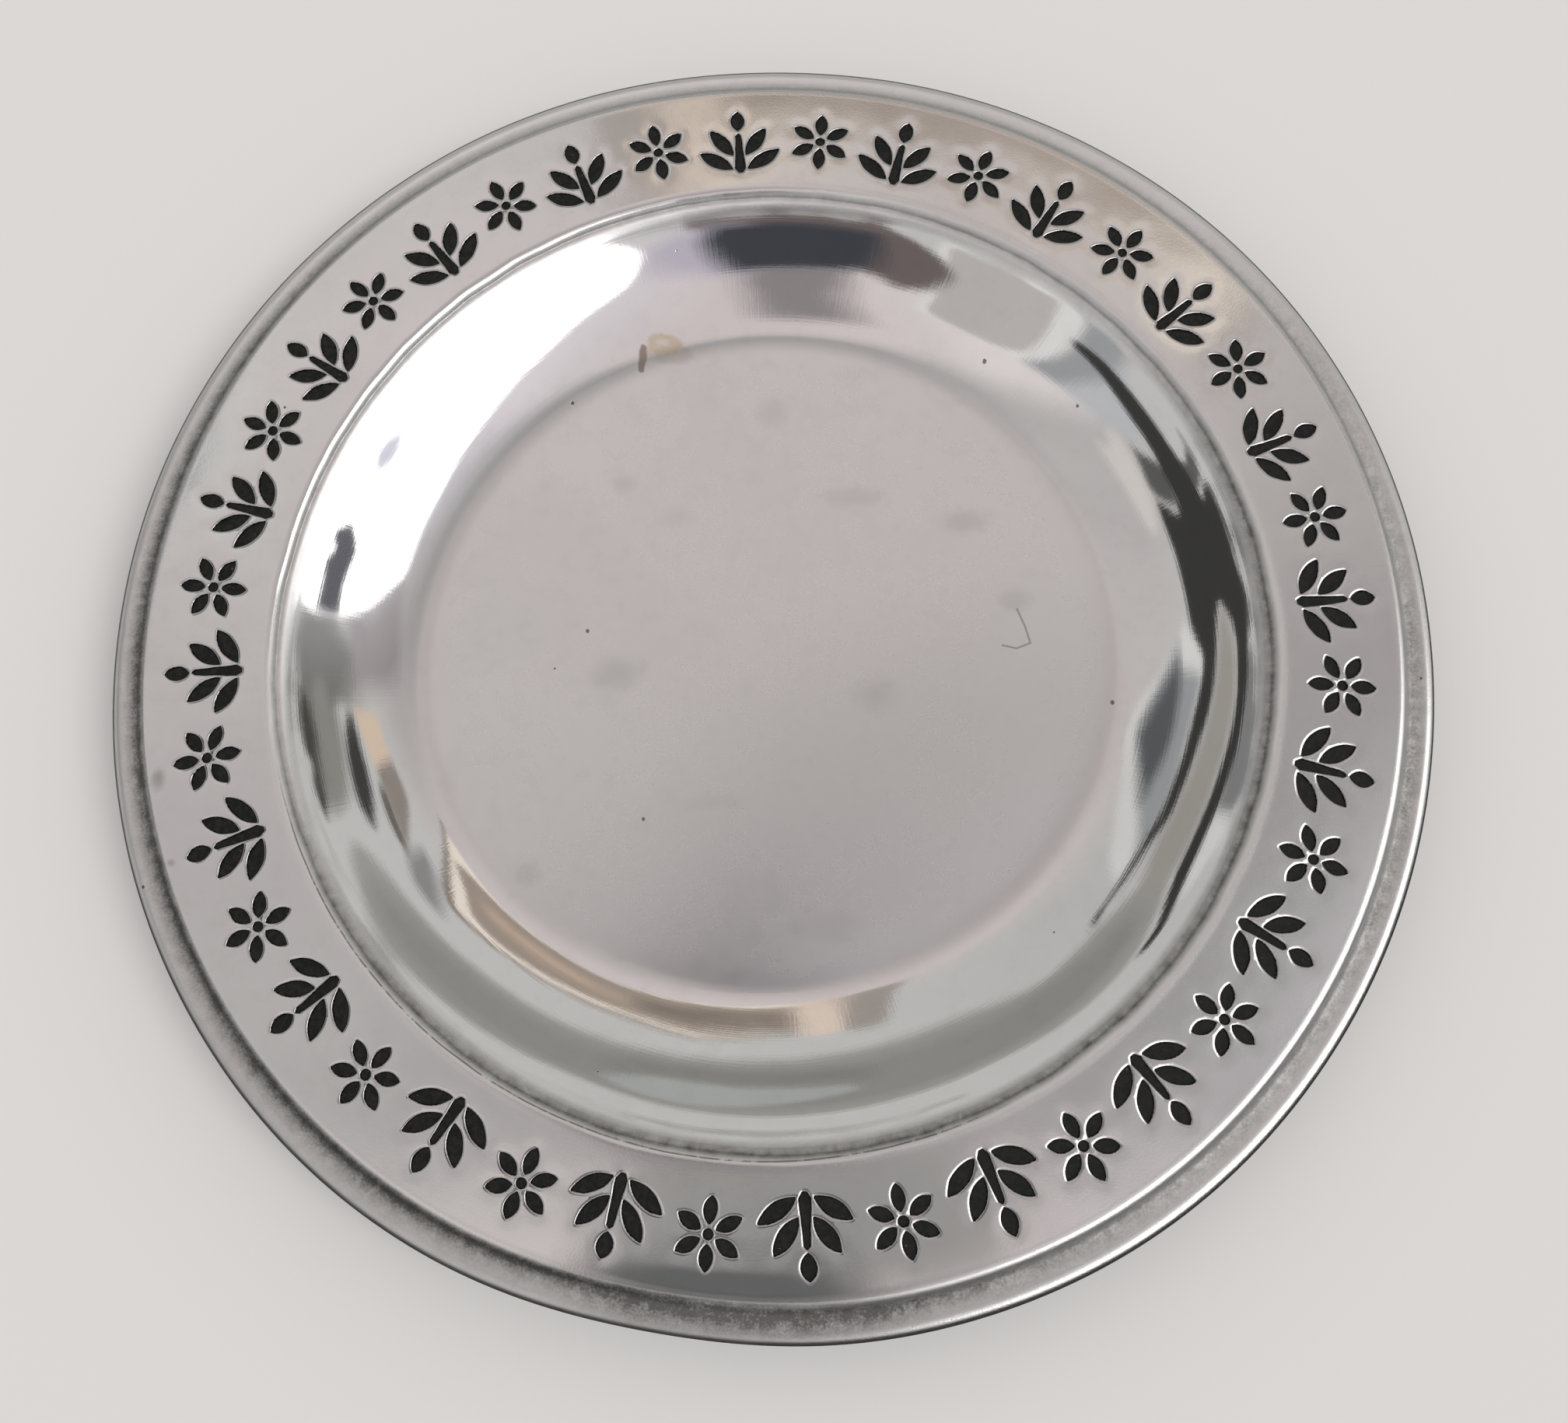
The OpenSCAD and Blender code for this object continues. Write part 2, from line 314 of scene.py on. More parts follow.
cell_shapes = [("stem", on_band(stem(10.2, 2.2, 1.1), 18.0))]
for s in (-1, 1):
    cell_shapes.append(("lower_leaf", on_band(turned(leaf(8.4, 3.0, 12), -s * 58, s * 1.7, 0.9), 18.0)))
    cell_shapes.append(("upper_leaf", on_band(turned(leaf(8.0, 3.0, 12), -s * 36, s * 1.45, 4.5), 18.0)))
cell_shapes.append(("tip_leaf", on_band(turned(leaf(5.0, 2.9, 9), 0, 0, 10.8), 18.0)))
for k in range(6):
    p = leaf(5.0, 2.5, 9)
    p = turned((p[0] + (0, 1.75), p[1], p[2] + (0, 1.75)), 60 * k, 0, 7.9)
    cell_shapes.append(("petal", on_band(p, 9.0)))
cell_shapes.append(("rosette_dot", on_band(turned(dot(1.9), 0, 0, 7.9), 9.0)))


def outline(shape, o):
    o = np.broadcast_to(np.asarray(o, float), (len(shape[0]),))
    return shape[0] + shape[1] * (RHO + o)[:, None]


def densely(loop, n=6):
    nxt = np.roll(loop, -1, 0)
    return np.concatenate([loop * (1 - i / n) + nxt * (i / n) for i in range(n)])


def nearest(a, b):
    out = np.empty(len(a))
    for i in range(0, len(a), 400):
        out[i:i + 400] = np.sqrt(((a[i:i + 400, None, :] - b[None, :, :]) ** 2).sum(-1)).min(1)
    return out


edges_of = [densely(outline(s, 0.0)) for _, s in cell_shapes]
lips = []
for i, (_, s) in enumerate(cell_shapes):
    others = np.concatenate([e for j, e in enumerate(edges_of) if j != i])
    gap = nearest(outline(s, 0.0), others)
    lip = np.clip(0.44 * gap, 0.13, 0.26)
    for _ in range(3):
        lip = np.minimum(lip, (np.roll(lip, 1) + 2 * lip + np.roll(lip, -1)) / 4)
    lips.append(lip)


def pillow(d):
    return 0.03 * np.exp(-(np.maximum(d - 0.3, 0) / 1.05) ** 2)


# ------------------------------------------------------------------ mesh of the casting
P, RAD, DFIG, UNDER = [], [], [], []      # nominal point, radius, distance to a figure, back side
F_TOP, F_UNDER = [], []


def add(points, d=3.0, under=0.0):
    first = sum(len(a) for a in P)
    points = np.asarray(points, float)
    P.append(points)
    RAD.append(np.hypot(points[:, 0], points[:, 1]))
    DFIG.append(np.broadcast_to(np.asarray(d, float), (len(points),)))
    UNDER.append(np.full(len(points), under))
    return np.arange(first, first + len(points))


ring_deg = np.radians(CELL_A0 + np.arange(M) * 360.0 / M)


def ring(r, z, under=0.0):
    return add(np.stack([r * np.cos(ring_deg), r * np.sin(ring_deg), np.full(M, z)], -1), 3.0, under)


def strip(a, b, faces):
    """Quads between two rings, b outside or after a on the way out over the lip and back below."""
    for j in range(M):
        k = (j + 1) % M
        faces.append((a[j], b[j], b[k], a[k]))


# One cell of the band, triangulated round its figures.
cell_th = np.radians(CELL_A0 + np.arange(SEG + 1) * 360.0 / M)
C_IN, C_OUT = BAND_IN + 1.0, BAND_OUT - 0.9
side_r = np.linspace(C_IN, C_OUT, 26)[1:-1]


def polar(r, th):
    return np.stack([r * np.cos(th), r * np.sin(th)], -1)


inner_arc = polar(np.full(SEG + 1, C_IN), cell_th)
outer_arc = polar(np.full(SEG + 1, C_OUT), cell_th)
side_a = 0.22 / side_r * np.where(np.arange(len(side_r)) % 2, 1.0, -1.0)      # a zigzag keeps the triangles plump
low_side = polar(side_r, cell_th[0] + side_a)
high_side = polar(side_r, cell_th[-1] + side_a)
border = np.concatenate([inner_arc, high_side, outer_arc[::-1], low_side[::-1]])
nb = len(border)
pts = [border]
cdt_edges = [(i, (i + 1) % nb) for i in range(nb)]
loops = []
count = nb
for (_, s), lip in zip(cell_shapes, lips):
    lp = outline(s, lip)
    pts.append(lp)
    loops.append(np.arange(count, count + len(lp)))
    cdt_edges += [(int(a), int(b)) for a, b in zip(loops[-1], np.roll(loops[-1], -1))]
    count += len(lp)
fixed = np.concatenate(pts)
all_edges = np.concatenate(edges_of)
lip_edges = np.concatenate([densely(outline(s, lip), 3) for (_, s), lip in zip(cell_shapes, lips)])


def in_loop(q, a):
    b = np.roll(a, -1, 0)
    spans = (a[None, :, 1] > q[:, None, 1]) != (b[None, :, 1] > q[:, None, 1])
    run = np.where(np.abs(b[:, 1] - a[:, 1]) < 1e-12, 1e-12, b[:, 1] - a[:, 1])
    cross = a[None, :, 0] + (q[:, None, 1] - a[None, :, 1]) / run[None, :] * (b[:, 0] - a[:, 0])[None, :]
    return ((spans & (q[:, None, 0] < cross)).sum(1) % 2) == 1


def inside_any(q):
    hit = np.zeros(len(q), bool)
    for (_, s), lip in zip(cell_shapes, lips):
        hit |= in_loop(q, outline(s, lip))
    return hit


accepted = [fixed]


def offer(q, gap):
    """Takes points of q that keep their distance from all taken ones."""
    r, th = np.hypot(q[:, 0], q[:, 1]), np.arctan2(q[:, 1], q[:, 0])
    th = np.where(th < 0, th + TAU, th)
    ok = (r > C_IN + 0.45) & (r < C_OUT - 0.45)
    ok &= ((th - cell_th[0]) * r > 0.45) & ((cell_th[-1] - th) * r > 0.45)
    q = q[ok]
    q = q[~inside_any(q)]
    q = q[nearest(q, lip_edges) > 0.26]
    taken = np.concatenate(accepted)
    got = []
    for p in q:
        if ((taken - p) ** 2).sum(1).min() > gap * gap and all((p[0] - g[0]) ** 2 + (p[1] - g[1]) ** 2 > gap * gap for g in got):
            got.append(p)
    if got:
        accepted.append(np.array(got))


for extra, gap in ((0.42, 0.40), (0.95, 0.62)):
    for (_, s), lip in zip(cell_shapes, lips):
        offer(outline(s, lip + extra), gap)
hexes = []
for i in range(-60, 61):
    for j in range(-60, 61):
        hexes.append((j * 1.02 + (i % 2) * 0.51, i * 0.885))
mid_a = 0.5 * (cell_th[0] + cell_th[-1])
hexes = np.array(hexes) + 115.0 * np.array([math.cos(mid_a), math.sin(mid_a)])
offer(hexes, 0.74)
cell_pts = np.concatenate(accepted)
cdt = delaunay_2d_cdt([Vector(p) for p in cell_pts], cdt_edges, [], 1, 1e-6, True)
cdt_pts = np.array([tuple(v) for v in cdt[0]])
origin = [o[0] for o in cdt[3]]
back_to = {i: o for i, o in enumerate(origin)}
tris = np.array([[back_to[i] for i in f] for f in cdt[2]])
cen = cell_pts[tris].mean(1)
tris = tris[~inside_any(cen) & in_loop(cen, border)]
a, b, c = cell_pts[tris[:, 0]], cell_pts[tris[:, 1]], cell_pts[tris[:, 2]]
area = (b[:, 0] - a[:, 0]) * (c[:, 1] - a[:, 1]) - (b[:, 1] - a[:, 1]) * (c[:, 0] - a[:, 0])
tris[area < 0] = tris[area < 0][:, ::-1]
cell_d = nearest(cell_pts, all_edges)

# well
pole = add([(0.0, 0.0, FLOOR_Z)])
rings = [ring(r, z) for r, z in inner_profile]
for j in range(M):
    F_TOP.append((pole[0], rings[0][j], rings[0][(j + 1) % M]))
for a, b in zip(rings, rings[1:]):
    strip(a, b, F_TOP)

# band: the cell goes round, and neighbours share the points of their sides
n_in = SEG + 1
i_inner = np.arange(0, n_in)
i_high = np.arange(n_in, n_in + len(side_r))
i_outer = np.arange(n_in + len(side_r), 2 * n_in + len(side_r))[::-1]
i_low = np.arange(2 * n_in + len(side_r), nb)[::-1]
band_in_ring = np.full(M, -1)
band_out_ring = np.full(M, -1)
cell_ids = []
for k in range(CELLS):
    ang = k * TAU / CELLS
    rot = np.array([[math.cos(ang), math.sin(ang)], [-math.sin(ang), math.cos(ang)]])
    ids = np.full(len(cell_pts), -1)
    own = np.ones(len(cell_pts), bool)
    own[i_inner[-1]] = own[i_outer[-1]] = False
    own[i_high] = False
    q = cell_pts[own] @ rot
    z = BAND_Z - pillow(cell_d[own])
    z = np.where(np.isin(np.where(own)[0], np.concatenate([i_inner, i_outer])), BAND_Z, z)
    ids[own] = add(np.column_stack([q, z]), np.minimum(cell_d[own], 3.0))
    cell_ids.append(ids)
for k in range(CELLS):
    nxt = cell_ids[(k + 1) % CELLS]
    ids = cell_ids[k]
    ids[i_high] = nxt[i_low]
    ids[i_inner[-1]] = nxt[i_inner[0]]
    ids[i_outer[-1]] = nxt[i_outer[0]]
    band_in_ring[k * SEG:(k + 1) * SEG] = ids[i_inner[:-1]]
    band_out_ring[k * SEG:(k + 1) * SEG] = ids[i_outer[:-1]]
    F_TOP += [tuple(t) for t in ids[tris]]
strip(rings[-1], band_in_ring, F_TOP)

# sunk figures: rolled edge, wall and bottom
LIP_T = np.radians((30.0, 60.0, 90.0))
for k in range(CELLS):
    ang = k * TAU / CELLS
    rot = np.array([[math.cos(ang), math.sin(ang)], [-math.sin(ang), math.cos(ang)]])
    for (kind, s), lip, lp in zip(cell_shapes, lips, loops):
        prev = cell_ids[k][lp]
        n = len(prev)
        levels = [(lip * (1 - math.sin(t)), BAND_Z - 0.07 - 0.25 * (1 - math.cos(t))) for t in LIP_T]
        levels.append((lip * 0.0, POCKET_Z))
        for o, z in levels:
            q = outline(s, o) @ rot
            dist = o if z > POCKET_Z else o - 0.4
            cur = add(np.column_stack([q, np.full(n, z)]), dist)
            for j in range(n):
                i = (j + 1) % n
                F_TOP.append((prev[j], prev[i], cur[i], cur[j]))
            prev = cur
        F_TOP.append(tuple(prev))

# hollow, lip, edge and underside
prev = band_out_ring
for i, (r, z) in enumerate(outer_profile):
    below = 1.0 if i >= n_top_rings else 0.0
    cur = ring(r, z, below)
    strip(prev, cur, F_UNDER if below else F_TOP)
    prev = cur
pole = add([(0.0, 0.0, 0.8)], 3.0, 1.0)
for j in range(M):
    F_UNDER.append((pole[0], prev[(j + 1) % M], prev[j]))

nominal = np.concatenate(P)
rad, dfig, under = np.concatenate(RAD), np.concatenate(DFIG), np.concatenate(UNDER)
shaped = deform(nominal, under)
faces = F_TOP + F_UNDER


def ladder(x, pairs):
    xs, ys = zip(*pairs)
    return np.interp(x, xs, ys)


# Finish by place: how rough the metal is, how much casting grain shows, where dark patina settles; the patina's
# strength by side round the rim is painted shade and painted highlight.
top_side = under < 0.5
BI, BO = BAND_IN, BAND_OUT
deg = np.degrees(np.arctan2(nominal[:, 1], nominal[:, 0])) % 360
near_w = smooth(82, 52, away(deg, 266))
right_w = smooth(62, 34, away(deg, 314))
far_w = smooth(80, 45, away(deg, 95))
left_w = smooth(95, 55, away(deg, 203))
side_w = smooth(45, 18, away(deg, 0))
knock_w = smooth(17, 7, away(deg, 264))
rough = np.where(top_side, ladder(rad, (
    (0, 0.28), (66, 0.28), (70.8, 0.25), (73.0, 0.15), (75.2, 0.072), (78, 0.042), (97, 0.038), (BI - 4.8, 0.06), (BI - 4.1, 0.22),
    (BI - 3.4, 0.40), (BI - 2.2, 0.46), (BI - 1.2, 0.40), (BI - 0.2, 0.27), (BI + 1.2, 0.11), (BO - 1.0, 0.095), (BO + 0.1, 0.18),
    (BO + 0.8, 0.40), (BO + 1.5, 0.50), (131.6, 0.50), (132.8, 0.42), (133.8, 0.33), (135, 0.33))), 0.36)
# the rolled edge and the lip are worn smoother on the right
rough -= np.where(top_side, right_w * ladder(rad, (
    (0, 0.0), (BO - 0.2, 0.0), (BO + 0.2, -0.02), (BO + 0.8, 0.07), (BO + 1.4, 0.09), (BO + 2.0, 0.0), (132.3, 0.0), (133.4, 0.14), (134.4, 0.10), (136, 0.08))), 0.0)
# the step's nose is smoother on the far left
rough -= np.where(top_side, smooth(58, 36, away(deg, 131)) * ladder(rad, (
    (0, 0.0), (BI - 2.6, 0.0), (BI - 1.6, 0.26), (BI - 0.4, 0.20), (BI + 0.8, 0.04), (BI + 1.6, 0.0), (136, 0.0))), 0.0)
edge_w = smooth(110, 60, away(deg, 310))
rough = np.maximum(rough, np.where(top_side, (0.22 + 0.14 * edge_w) * np.exp(-(np.maximum(dfig, 0.0) / 0.30) ** 2), 0.0))
grain = np.where(top_side, ladder(rad, (
    (0, 0.10), (68, 0.10), (74, 0.03), (97, 0.02), (BI - 4.0, 0.08), (BI - 3.0, 0.30), (BI - 1.7, 0.30), (BI, 0.10), (BO - 1.0, 0.10),
    (BO + 0.3, 0.45), (BO + 1.0, 1.0), (131.8, 1.0), (133.0, 0.8), (134.0, 0.5), (136, 0.4))), 0.35)
patina_and_shade = ladder(rad, ((0, 0.0), (BI - 3.6, 0.0), (BI - 2.9, 0.24), (BI - 2.2, 0.46), (BI - 1.6, 0.20), (BI - 0.9, 0.0), (136, 0.0)))
# a wider dark line in the step's cove on the near side and near right: painted shade over the patina
patina_and_shade += np.maximum(near_w, smooth(72, 44, away(deg, 330))) * ladder(rad, ((0, 0.0), (BI - 4.2, 0.0), (BI - 3.4, 0.42), (BI - 2.5, 0.42), (BI - 1.9, 0.30), (BI - 1.2, 0.0), (136, 0.0)))
# patina in the hollow inside the rolled edge; its strength by side (heavier on the left and near right, lighter on the
# far side and at the right end) is painted shade
patina_and_shade += (1.0 + 0.25 * right_w - 0.38 * far_w + 0.95 * left_w - 0.25 * side_w) * ladder(rad, (
    (0, 0.0), (BO + 0.15, 0.0), (BO + 0.6, 0.34), (BO + 1.5, 0.50), (BO + 2.7, 0.40), (131.7, 0.24), (132.8, 0.12), (133.8, 0.06), (136, 0.04)))
# patina on the outer lip, heavier at the knock; its strength by side is painted shade
patina_and_shade += (0.22 * side_w + 0.38 * knock_w + 0.14 * right_w - 0.05 * far_w) * ladder(rad, (
    (0, 0.0), (BO + 1.8, 0.0), (131.0, 1.0), (133.0, 1.0), (134.2, 0.3), (136, 0.2)))
patina_and_shade += knock_w * ladder(rad, ((0, 0.0), (BO - 1.4, 0.0), (BO - 0.4, 0.30), (BO + 0.7, 0.26), (BO + 1.3, 0.0), (136, 0.0)))
# less patina on the rolled edge and lip on the right, where the bright panel falls: painted highlight
patina_and_shade -= right_w * ladder(rad, ((0, 0.0), (BO + 0.1, 0.0), (BO + 0.5, 0.50), (BO + 1.3, 0.56), (BO + 2.1, 0.0), (132.2, 0.0), (133.2, 0.15), (136, 0.08)))
patina_and_shade = np.where(top_side, np.clip(patina_and_shade, 0.0, 1.0), 0.10)
# a little of the black stays along the edges of the figures; the extra toward the near right, where the light falls, is
# painted shade over their highlights
patina_and_shade = np.maximum(patina_and_shade, np.where(top_side, (0.52 + 0.22 * edge_w) * np.exp(-(np.maximum(dfig, 0.0) / 0.26) ** 2), 0.0))
patina_and_shade = np.where(dfig < -0.05, 0.9, patina_and_shade)


def build(name, points, polys, attrs):
    me = bpy.data.meshes.new(name)
    me.from_pydata([tuple(p) for p in (points * MM)], [], [tuple(int(i) for i in f) for f in polys])
    me.update()
    for key, val in attrs.items():
        at = me.attributes.new(key, "FLOAT", "POINT")
        at.data.foreach_set("value", np.ascontiguousarray(val, dtype=np.float32))
    me.polygons.foreach_set("use_smooth", np.ones(len(me.polygons), bool))
    ob = bpy.data.objects.new(name, me)
    scene.collection.objects.link(ob)
    return ob


plate = build("plate_body", shaped, faces, {
    "rough": rough, "grain": grain, "patina_and_shade": patina_and_shade, "figure": np.clip(dfig, -0.5, 3.0), "under": under})

# flat layout of both sides in the OFBake UV map
uv = plate.data.uv_layers.new(name="OFBake")
n_top_loops = sum(len(f) for f in F_TOP)
order = np.empty(len(plate.data.loops), dtype=np.int32)
plate.data.loops.foreach_get("vertex_index", order)
xy = shaped[order][:, :2]
is_top = np.arange(len(order)) < n_top_loops
flat = np.where(is_top[:, None], 0.355 + xy * (0.345 / 136.5), 0.862 + xy * (0.130 / 136.5) * np.array([-1.0, 1.0]))
uv.data.foreach_set("uv", np.ascontiguousarray(flat, dtype=np.float32).ravel())

# ------------------------------------------------------------------ black filling of the figures
fills = {}
for kind in ("stem", "lower_leaf", "upper_leaf", "tip_leaf", "petal", "rosette_dot"):
    fp, ff, fe = [], [], []
    n0 = 0
    for k in range(CELLS):
        ang = k * TAU / CELLS
        rot = np.array([[math.cos(ang), math.sin(ang)], [-math.sin(ang), math.cos(ang)]])
        for name, s in cell_shapes:
            if name != kind:
                continue
            n = len(s[0])
            rim0 = outline(s, -0.012)
            mid = s[2]
            rows = [(rim0, POCKET_Z + 0.01, 0.0), (rim0, FILL_Z + 0.03, 0.0)]
            for f, dz in ((0.16, -0.015), (0.42, -0.04)):
                rows.append((rim0 * (1 - f) + mid * f, FILL_Z + dz, f))
            for q, z, e in rows:
                q = q @ rot
                lump = 0.0 if z < FILL_Z - 0.2 else 0.035 * noise2(q[:, 0] / 2.3, q[:, 1] / 2.3, 9) + 0.02 * noise2(q[:, 0] / 0.9, q[:, 1] / 0.9, 10)
                fp.append(np.column_stack([q, z + lump * np.ones(n)]))
                fe.append(np.full(n, e))
            for row in range(3):
                for j in range(n):
                    i = (j + 1) % n
                    ff.append((n0 + row * n + j, n0 + row * n + i, n0 + (row + 1) * n + i, n0 + (row + 1) * n + j))
            ff.append(tuple(n0 + 3 * n + j for j in range(n)))
            ff.append(tuple(n0 + j for j in range(n))[::-1])
            n0 += 4 * n
    fp = np.concatenate(fp)
    fills[kind] = build(kind + "_fill", deform(fp, np.zeros(len(fp))), ff, {"inner": np.concatenate(fe)})


# ------------------------------------------------------------------ materials
class Graph:
    def __init__(self, tree):
        self.tree = tree
        tree.nodes.clear()

    def node(self, kind, **props):
        n = self.tree.nodes.new(kind)
        for k, v in props.items():
            setattr(n, k, v)
        return n

    def put(self, socket, value):
        if isinstance(value, bpy.types.NodeSocket):
            self.tree.links.new(value, socket)
        else:
            socket.default_value = value

    def math(self, op, a, b=None, c=None, clamp=False):
        n = self.node("ShaderNodeMath", operation=op, use_clamp=clamp)
        for s, v in zip(n.inputs, (a, b, c)):
            if v is not None:
                self.put(s, v)
        return n.outputs[0]

    def vec(self, op, a, b=None, scale=None):
        n = self.node("ShaderNodeVectorMath", operation=op)
        self.put(n.inputs[0], a)
        if b is not None:
            self.put(n.inputs[1], b)
        if scale is not None:
            self.put(n.inputs["Scale"], scale)
        return n.outputs["Value"] if op in ("LENGTH", "DISTANCE", "DOT_PRODUCT") else n.outputs["Vector"]

    def step(self, x, a, b, lo=0.0, hi=1.0, kind="SMOOTHSTEP"):
        n = self.node("ShaderNodeMapRange", interpolation_type=kind, clamp=True)
        for s, v in zip(("Value", "From Min", "From Max", "To Min", "To Max"), (x, a, b, lo, hi)):
            self.put(n.inputs[s], v)
        return n.outputs["Result"]

    def noise(self, v, scale, detail=2.0, rough=0.5, warp=0.0):
        n = self.node("ShaderNodeTexNoise")
        self.put(n.inputs["Vector"], v)
        for s, val in (("Scale", scale), ("Detail", detail), ("Roughness", rough), ("Distortion", warp)):
            self.put(n.inputs[s], val)
        return n.outputs["Fac"]

    def mix(self, f, a, b, mode="MIX"):
        n = self.node("ShaderNodeMix", data_type="RGBA", blend_type=mode)
        self.put(n.inputs[0], f)
        for s, v in ((n.inputs[6], a), (n.inputs[7], b)):
            self.put(s, v if isinstance(v, bpy.types.NodeSocket) else (*v, 1.0))
        return n.outputs[2]

    def attr(self, name):
        return self.node("ShaderNodeAttribute", attribute_type="GEOMETRY", attribute_name=name).outputs["Fac"]

    def xyz(self, v):
        return self.node_of("ShaderNodeSeparateXYZ", v)

    def node_of(self, kind, v):
        n = self.node(kind)
        self.put(n.inputs[0], v)
        return n.outputs

    def join(self, x, y, z):
        n = self.node("ShaderNodeCombineXYZ")
        for s, v in zip(n.inputs, (x, y, z)):
            self.put(s, v)
        return n.outputs[0]


def add_all(g, *terms):
    out = terms[0]
    for t in terms[1:]:
        out = g.math("ADD", out, t)
    return out


def oval(g, flatp, cx, cy, ax, ay):
    """Distance from a place on the plate, 1 at the edge of an upright oval."""
    return g.vec("LENGTH", g.vec("MULTIPLY", g.vec("SUBTRACT", flatp, (cx, cy, 0.0)), (1.0 / ax, 1.0 / ay, 0.0)))


def stroke(g, flatp, a, b):
    """Distance in millimetres from a straight stroke."""
    d = (b[0] - a[0], b[1] - a[1], 0.0)
    rel = g.vec("SUBTRACT", flatp, (*a, 0.0))
    h = g.math("MULTIPLY", g.vec("DOT_PRODUCT", rel, d), 1.0 / (d[0] ** 2 + d[1] ** 2), clamp=True)
    return g.vec("LENGTH", g.vec("SUBTRACT", rel, g.vec("SCALE", d, scale=h)))


# old marks of use: place, half sizes, strength
SMUDGES = ((-33.6, -1.4, 6.6, 4.6, 0.22), (21.8, -9.8, 6.0, 4.6, 0.20), (44.3, 28.0, 6.2, 3.4, 0.22), (20.5, 35.3, 8.0, 3.0, 0.17),
           (3.5, 56.8, 4.0, 4.6, 0.15), (-30.3, 41.9, 3.2, 2.8, 0.15), (-18.9, 33.4, 4.2, 3.2, 0.11), (8.2, -57.8, 9.0, 4.0, 0.15),
           (-53.4, -43.1, 3.4, 3.0, 0.17), (53.3, 9.4, 4.0, 3.4, 0.19), (-14.0, -30.8, 8.0, 1.9, 0.09),
           (-123.7, -21.7, 1.6, 2.3, 0.55), (-120.4, -38.8, 1.0, 0.9, 0.45))
PITS = ((-39.3, 8.4, 0.5), (-28.8, -33.4, 0.45), (-41.1, 62.1, 0.5), (51.6, 64.4, 0.5), (70.5, 51.2, 0.35),
        (71.5, -14.9, 0.55), (-126.2, -43.1, 0.4))
HAIRLINE = ((53.5, 7.2), (54.8, 3.3), (55.6, -0.6), (52.5, -1.6), (49.6, -0.7))


